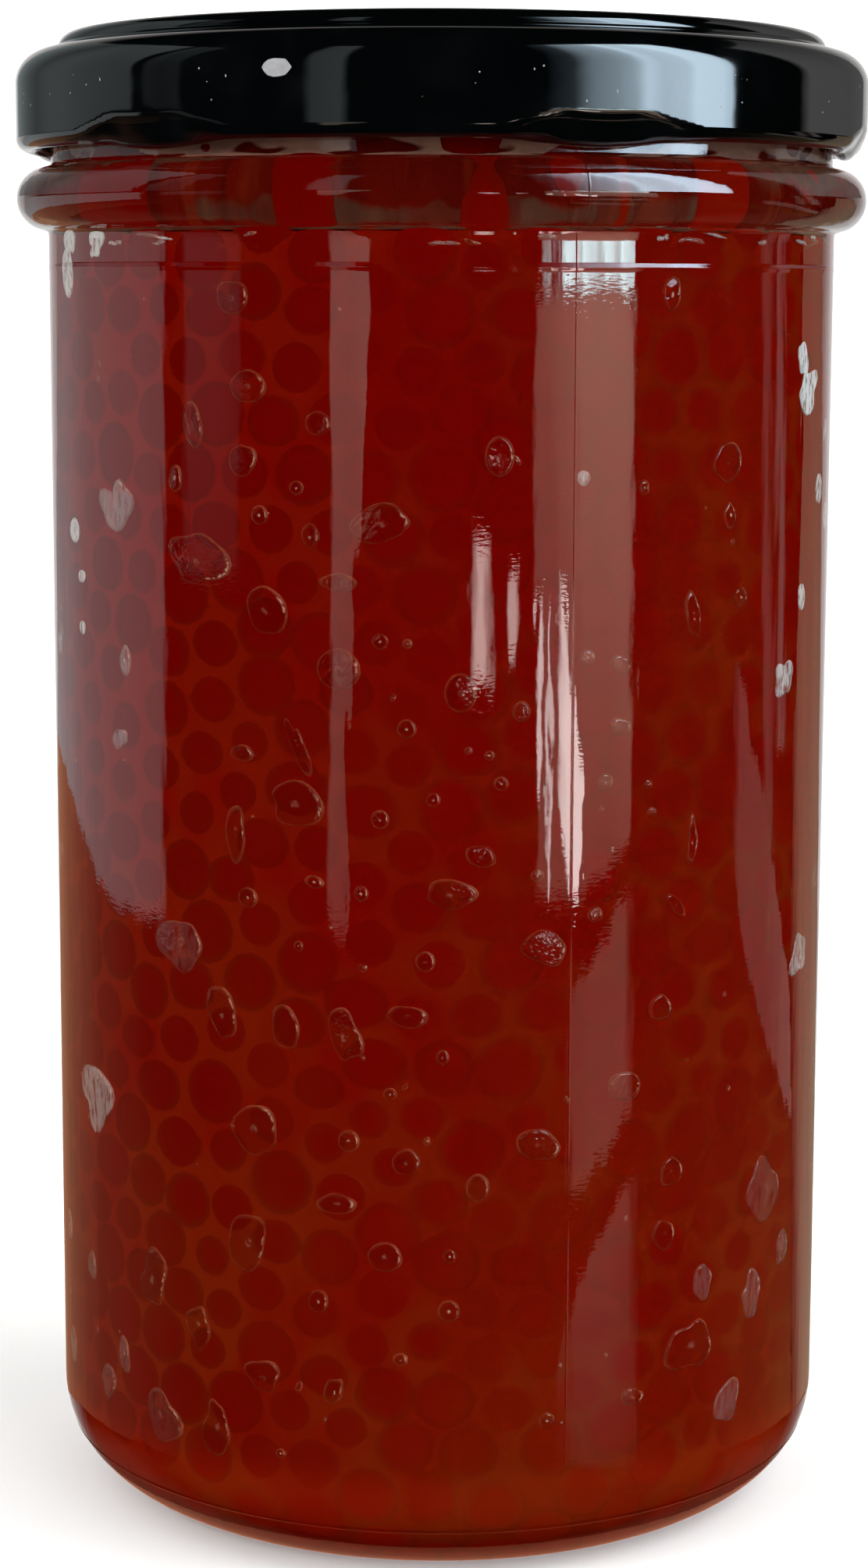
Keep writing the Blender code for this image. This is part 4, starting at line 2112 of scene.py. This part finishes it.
@dataclass
class Panel:
    """A lit panel, given by the shape that its reflection draws on the jar or the lid.

    The radius is that of what reflects it. The panel hangs at a distance from the axis, and its
    upper edge is raised by its rise.
    """

    name: str
    colour: Colour
    strength: float
    columns: Sequence[Column]
    radius: float = 39.6
    rise: float = 0.0
    away: float = 900.0

    def reflected(self, view: Viewpoint, pixel: Point) -> tuple[Vector, Vector]:
        """Return where a pixel's ray meets the glass or lid, and its way once reflected.

        Args:
            view: The camera.
            pixel: A place in the full frame.

        Returns:
            The meeting point and the way.
        """
        point = view.on_cylinder(pixel, self.radius)
        normal = Vector((point.x, point.y, 0.0)).normalized()
        sight = (point - view.place()).normalized()
        return point, sight - 2.0 * sight.dot(normal) * normal

    def build(self, view: Viewpoint) -> bpy.types.Object:
        """Hang the panel where the camera sees it reflected.

        Args:
            view: The camera.

        Returns:
            The panel, seen only in reflections and by what it lights.
        """
        pairs = [
            tuple(self.reflected(view, (column.x, end)) for end in (column.top, column.foot))
            for column in self.columns
        ]
        middle = sum((way for pair in pairs for _, way in pair), Vector())
        facing = Vector((middle.x, middle.y, 0.0)).normalized()
        corners: list[Vector] = []
        shines: list[float] = []
        for column, pair in zip(self.columns, pairs):
            for (start, way), rise in zip(pair, (self.rise, 0.0)):
                corner = start + way * ((self.away - start.dot(facing)) / way.dot(facing))
                corners.append(corner + Vector((0.0, 0.0, rise)))
            foot_shine = column.shine if column.foot_shine is None else column.foot_shine
            shines += [column.shine, foot_shine]
        glow = Glow(self.name, self.colour, self.strength).material()
        points = [corner * MM for corner in corners]
        piece = made(self.name, points, strip_faces(len(pairs)), [glow], shine=shines)
        piece.visible_camera = False
        piece.visible_diffuse = False
        piece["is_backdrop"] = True
        return piece


def strip_faces(pairs: int) -> list[tuple[int, ...]]:
    """Return the faces of a strip between pairs of points."""
    return [(2 * i, 2 * i + 1, 2 * i + 3, 2 * i + 2) for i in range(pairs - 1)]


def band(x: float, width: float, top: float, foot: float, soft: float = 3.0) -> list[Column]:
    """Return the columns of an upright band with soft sides.

    Args:
        x: The place of its left side.
        width: How wide it is.
        top: Its upper end.
        foot: Its lower end.
        soft: How far its sides fade.

    Returns:
        Its columns, from left to right.
    """
    return [
        Column(x - soft, top, foot, 0.0),
        Column(x + soft, top, foot),
        Column(x + width - soft, top, foot),
        Column(x + width + soft, top, foot, 0.0),
    ]


@dataclass
class Studio:
    """The floor, the light and the camera."""

    view: Viewpoint
    jar: GlassJar
    lid: TwistOffLid
    floor_size: float = 3.0
    sweep_start: float = 0.45
    sweep: float = 0.6
    lamp_size: float = 1.1
    lamp_aim: float = 0.06
    lamp_aim_back: float = 8.0
    glow_radius: float = 36.6
    glow_radiance: float = 0.36
    glow_colour: Colour = (1.0, 0.36, 0.19)
    horizon: tuple[tuple[float, Colour], ...] = (
        (0.70, (0.0, 0.0, 0.0)),
        (0.84, (0.38, 0.36, 0.34)),
        (0.97, (0.85, 0.85, 0.84)),
    )
    table_below: Point = (-0.38, -0.50)
    table_behind: Point = (0.15, 0.40)
    table_colour: Colour = (0.15, 0.065, 0.042)
    backdrop: Colour = (0.92, 0.92, 0.91)
    lamps: tuple[tuple[str, Point3, float], ...] = (
        ("left_lamp", (-1.1, -0.8, 0.5), 23.8),
        ("front_lamp", (0.1, -1.5, 0.45), 7.0),
        ("right_lamp", (0.8, -0.58, 0.7), 24.0),
        ("left_rear_lamp", (-0.9, 0.1, 1.1), 19.0),
        ("right_rear_lamp", (0.9, 0.1, 1.1), 19.0),
    )

    @staticmethod
    def pane_shine(number: int) -> float:
        """Return the shine of one line of the window: uneven, and broken at its left side."""
        uneven = 0.5 + 0.5 * ((number * 7) % 4) / 3.0
        return uneven * (1.0 if number > 4 else 0.3 * (number % 2))

    def body_panels(self) -> list[Panel]:
        """Return the panels that the body reflects, all below its top's level.

        Returns:
            The panels.
        """
        pale, warm, brown = (0.93, 0.99, 1.0), (1.0, 0.74, 0.58), (1.0, 0.62, 0.22)
        rosy, peach = (1.0, 0.88, 0.84), (1.0, 0.80, 0.74)
        left = columns(
            (74, 292, 940, 0.5), (84, 292, 985, 0.7), (97, 292, 1030, 0.8), (110, 292, 1075, 0.8),
            (135, 292, 1140, 0.9), (165, 292, 1165), (207, 292, 1175), (213, 292, 1178, 0.0),
        )
        strip = columns(
            (232, 292, 735, 0.0), (242, 292, 735, 1.0, 0.5), (270, 292, 738, 1.0, 0.5),
            (300, 292, 740, 0.7, 0.4), (312, 292, 740, 0.0),
        )
        door = columns(
            (420, 292, 1150, 0.0), (426, 292, 1185, 1.0, 0.5), (442, 292, 1190, 1.0, 0.4),
            (452, 292, 760, 1.0, 0.6), (466, 292, 560), (474, 292, 420), (479, 292, 410, 0.0),
        )
        window = [Column(697 + 6 * i, 272, 368, self.pane_shine(i)) for i in range(20)]
        wall = columns(
            (684, 372, 1150, 0.0), (690, 372, 1150, 0.45, 0.3), (732, 372, 1150, 0.75, 0.3),
            (745, 372, 1150, 1.0, 0.3), (780, 372, 1110, 1.0, 0.3), (808, 372, 1078, 0.9, 0.4),
            (814, 372, 1076, 0.0),
        )
        streak = columns(
            (714, 740, 1000, 0.0), (721, 760, 1050, 0.8), (728, 860, 1145), (738, 940, 1150),
            (750, 1010, 1140), (762, 1070, 1105),
        )
        table = columns(
            (724, 1350, 1530, 0.0), (736, 1280, 1530, 0.8), (760, 1225, 1500), (800, 1150, 1430),
            (812, 1145, 1425, 0.0),
        )
        table_low = columns(
            (712, 1760, 1880, 0.0), (735, 1660, 1905, 0.8, 0.2), (760, 1600, 1910, 1.0, 0.2),
            (800, 1520, 1915, 0.9, 0.1), (818, 1500, 1915, 0.0),
        )
        right = columns(
            (938, 840, 1090, 0.0), (947, 860, 1180, 0.6), (956, 885, 1228, 0.62, 0.55),
            (968, 970, 1275, 0.55, 0.45), (981, 1045, 1330, 0.5, 0.4),
            (1003, 1215, 1400, 0.55, 0.5), (1016, 1290, 1440, 0.5), (1030, 1360, 1480, 0.3),
        )
        left_table = columns(
            (74, 940, 1740, 1.0), (84, 980, 1790, 1.0), (104, 1040, 1840, 0.9, 0.7),
            (130, 1110, 1870, 0.5, 0.5), (180, 1150, 1890, 0.1, 0.4), (260, 1180, 1900, 0.0),
        )
        right_table = columns(
            (880, 1100, 1900, 0.0), (950, 1150, 1890, 0.0, 0.6), (1005, 1200, 1850, 0.0, 1.0),
            (1035, 1250, 1780, 0.0, 0.8),
        )
        edge = columns(
            (1013, 1000, 1850, 0.0), (1020, 880, 1840, 0.7), (1026, 640, 1820, 1.3),
            (1031, 292, 1800, 0.9), (1044, 292, 1780, 0.8), (1054, 292, 1740, 0.6),
        )
        return [
            Panel("right_edge_light", (1.0, 0.76, 0.52), 0.42, edge, away=420.0),
            Panel("left_table_light", (1.0, 0.5, 0.28), 0.42, left_table, away=950.0),
            Panel("right_table_light", brown, 0.20, right_table, away=650.0),
            Panel("left_wall_light", pale, 0.75, left),
            Panel("left_strip_light", pale, 0.28, strip),
            Panel("door_light", (1.0, 0.85, 0.72), 1.5, door),
            Panel("window_light", (0.68, 0.97, 1.0), 22.0, window),
            Panel("window_wall_light", warm, 3.3, wall),
            Panel("streak_light", rosy, 15.0, streak),
            Panel("thin_streak_light", rosy, 11.0, band(687, 7, 770, 1015, 1.5)),
            Panel("thread_streak_light", rosy, 10.0, band(701, 5, 780, 1150, 1.5)),
            Panel("glint_light", peach, 9.0, band(607, 20, 690, 880, 6.0)),
            Panel("thin_glint_light", peach, 8.0, band(655, 7, 730, 840, 3.0)),
            Panel("table_light", warm, 0.95, table, away=500.0),
            Panel("low_table_light", warm, 0.9, table_low, away=300.0),
            Panel("right_wedge_light", (1.0, 0.8, 0.72), 0.8, right, away=500.0),
            Panel("right_strip_light", (1.0, 0.85, 0.78), 0.3, band(977, 11, 292, 1100)),
            Panel("right_bright_light", (1.0, 0.9, 0.85), 0.45, band(995, 9, 292, 960)),
        ]

    def high_panels(self) -> list[Panel]:
        """Return the panels that only the lid and the neck reflect.

        Returns:
            The panels.
        """
        pale, blue, white = (0.86, 0.97, 1.0), (0.66, 0.85, 1.0), (1.0, 1.0, 1.0)
        top, foot, rise = 60.0, 212.0, 420.0
        lid = self.lid.radius
        left = columns(
            (24, top, foot, 0.5), (48, top, foot, 0.25), (80, top, foot, 0.6),
            (166, top, foot - 52.0, 1.0, 0.7), (171, top, foot - 60.0, 0.0),
            (180, top, foot - 68.0, 0.0), (187, top, foot - 68.0, 0.5, 0.2),
            (205, top, foot - 54.0, 0.3, 0.15), (226, top, foot - 48.0, 0.4, 0.2),
            (233, top, foot, 0.0),
        )
        middle = columns(
            (388, top, foot, 0.0), (400, top, foot, 0.8), (436, top, foot, 1.0),
            (446, top, foot, 0.0),
        )
        window = columns(
            (700, top, foot, 0.0), (735, top, foot, 0.03), (762, top - 2.0, foot, 0.26),
            (790, top + 3.0, foot, 0.36), (815, top, foot, 0.52), (829, top, foot, 0.95),
            (850, top - 3.0, foot, 0.75), (880, top, foot, 0.8), (892, top + 2.0, foot, 1.0),
            (925, top + 4.0, foot, 0.9), (937, top + 6.0, foot, 0.7), (942, top + 6.0, foot, 0.0),
        )
        right = columns(
            (1024, top, foot, 0.0), (1036, top, foot, 1.0), (1060, top, foot, 0.7),
            (1085, top, foot, 0.4), (1104, top, foot, 0.25),
        )
        return [
            Panel("lid_left_light", pale, 0.75, left, lid, rise, 450.0),
            Panel("lid_middle_light", pale, 0.72, middle, lid, rise, 450.0),
            Panel("lid_window_light", blue, 17.0, window, lid, rise, 330.0),
            Panel("lid_right_light", white, 0.6, right, lid, rise, 450.0),
        ]

    def light_world(self) -> None:
        """Give the scene a pale backdrop, dark towards the front and brown below the jar."""
        graph = Graph(bpy.data.worlds.new("studio"))
        way = graph.add("ShaderNodeTexCoord").outputs["Generated"]
        parts = graph.add("ShaderNodeSeparateXYZ", inputs={0: way})
        behind, up = (Term(graph, parts.outputs[axis]) for axis in "YZ")
        table = up.ramped(*self.table_below) * behind.ramped(*self.table_behind)
        horizon = graph.add("ShaderNodeValToRGB", {"stops": self.horizon}, {0: behind})
        around = graph.mixed(table, horizon, self.table_colour)
        mirrored = graph.add("ShaderNodeBackground", inputs={"Color": around})
        seen = graph.add("ShaderNodeBackground", inputs={"Color": self.backdrop})
        world = graph.done(graph.either(graph.ray_is("Camera"), mirrored, seen))
        bpy.context.scene.world = world
        bpy.context.scene.view_settings.view_transform = "Standard"

    def lay_floor(self) -> bpy.types.Object:
        """Lay a table top that sweeps up into a backdrop.

        Returns:
            The floor.
        """
        bend = [
            (self.sweep_start + self.sweep * math.sin(a), self.sweep * (1.0 - math.cos(a)))
            for a in np.radians(np.linspace(0.0, 90.0, 25))
        ]
        half = self.floor_size / 2.0
        profile = [(-half, 0.0), *bend, (bend[-1][0], half)]
        points = [(x, y, z) for y, z in profile for x in (-half, half)]
        floor = made("floor", points, strip_faces(len(profile)), [PaleFloor().material()])
        floor.data.shade_smooth()
        floor.visible_glossy = False
        floor.visible_transmission = False
        floor.visible_shadow = False
        floor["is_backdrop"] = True
        return floor

    def hang_lamp(self, name: str, place: Point3, power: float) -> bpy.types.Object:
        """Hang one broad soft lamp, which glossy surfaces don't mirror.

        Args:
            name: The lamp's name.
            place: Where it hangs, in metres.
            power: Its power in watts.

        Returns:
            The lamp, turned towards the jar.
        """
        data = bpy.data.lights.new(name, "AREA")
        data.shape = "RECTANGLE"
        data.size = data.size_y = self.lamp_size
        data.energy = power
        lamp = bpy.data.objects.new(name, data)
        start = Vector(place)
        back = max(0.0, place[1] * self.lamp_aim_back)
        turn = (Vector((0.0, back, self.lamp_aim)) - start).to_track_quat("-Z", "Y")
        lamp.matrix_world = Matrix.Translation(start) @ turn.to_matrix().to_4x4()
        lamp.visible_glossy = False
        lamp.visible_transmission = False
        bpy.context.scene.collection.objects.link(lamp)
        return lamp

    def light_table(self) -> None:
        """Let the table glow under the jar, as seen through its heel."""
        data = bpy.data.lights.new("table_glow", "AREA")
        data.shape = "DISK"
        data.size = 2.0 * self.glow_radius * MM
        data.energy = self.glow_radiance * (math.pi * self.glow_radius * MM) ** 2
        data.color = self.glow_colour
        lamp = bpy.data.objects.new("table_glow", data)
        upwards = Matrix.Rotation(math.pi, 4, "X")
        lamp.matrix_world = Matrix.Translation((0.0, 0.0, -MM)) @ upwards
        lamp.visible_camera = False
        bpy.context.scene.collection.objects.link(lamp)

    def build(self) -> None:
        """Set up everything round the jar."""
        self.light_world()
        self.lay_floor()
        self.light_table()
        for name, place, power in self.lamps:
            self.hang_lamp(name, place, power)
        for panel in self.body_panels() + self.high_panels():
            panel.build(self.view)
        self.view.camera()


def numbers(box: Iterable[Iterable[float]]) -> list[list[float]]:
    """Return a box as plain lists of numbers."""
    return [[float(value) for value in corner] for corner in box]


def main() -> None:
    """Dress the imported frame."""
    logging.basicConfig(level=logging.INFO, format="%(name)s: %(message)s")
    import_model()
    frame_box = numbers(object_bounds())
    jar = GlassJar()
    lid = TwistOffLid()
    view = Viewpoint()
    Studio(view, jar, lid).build()
    makers = [jar, lid, LidMarks(lid, view), BrineFill(jar), AirPockets(jar, view)]
    pieces = [maker.build() for maker in makers] + RoeHeap(jar).build()
    for piece in pieces:
        LOG.info("%s has %d faces", piece.name, len(piece.data.polygons))
    {"frame": frame_box, "dressed": numbers(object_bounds())}


if __name__ == "__main__":
    main()
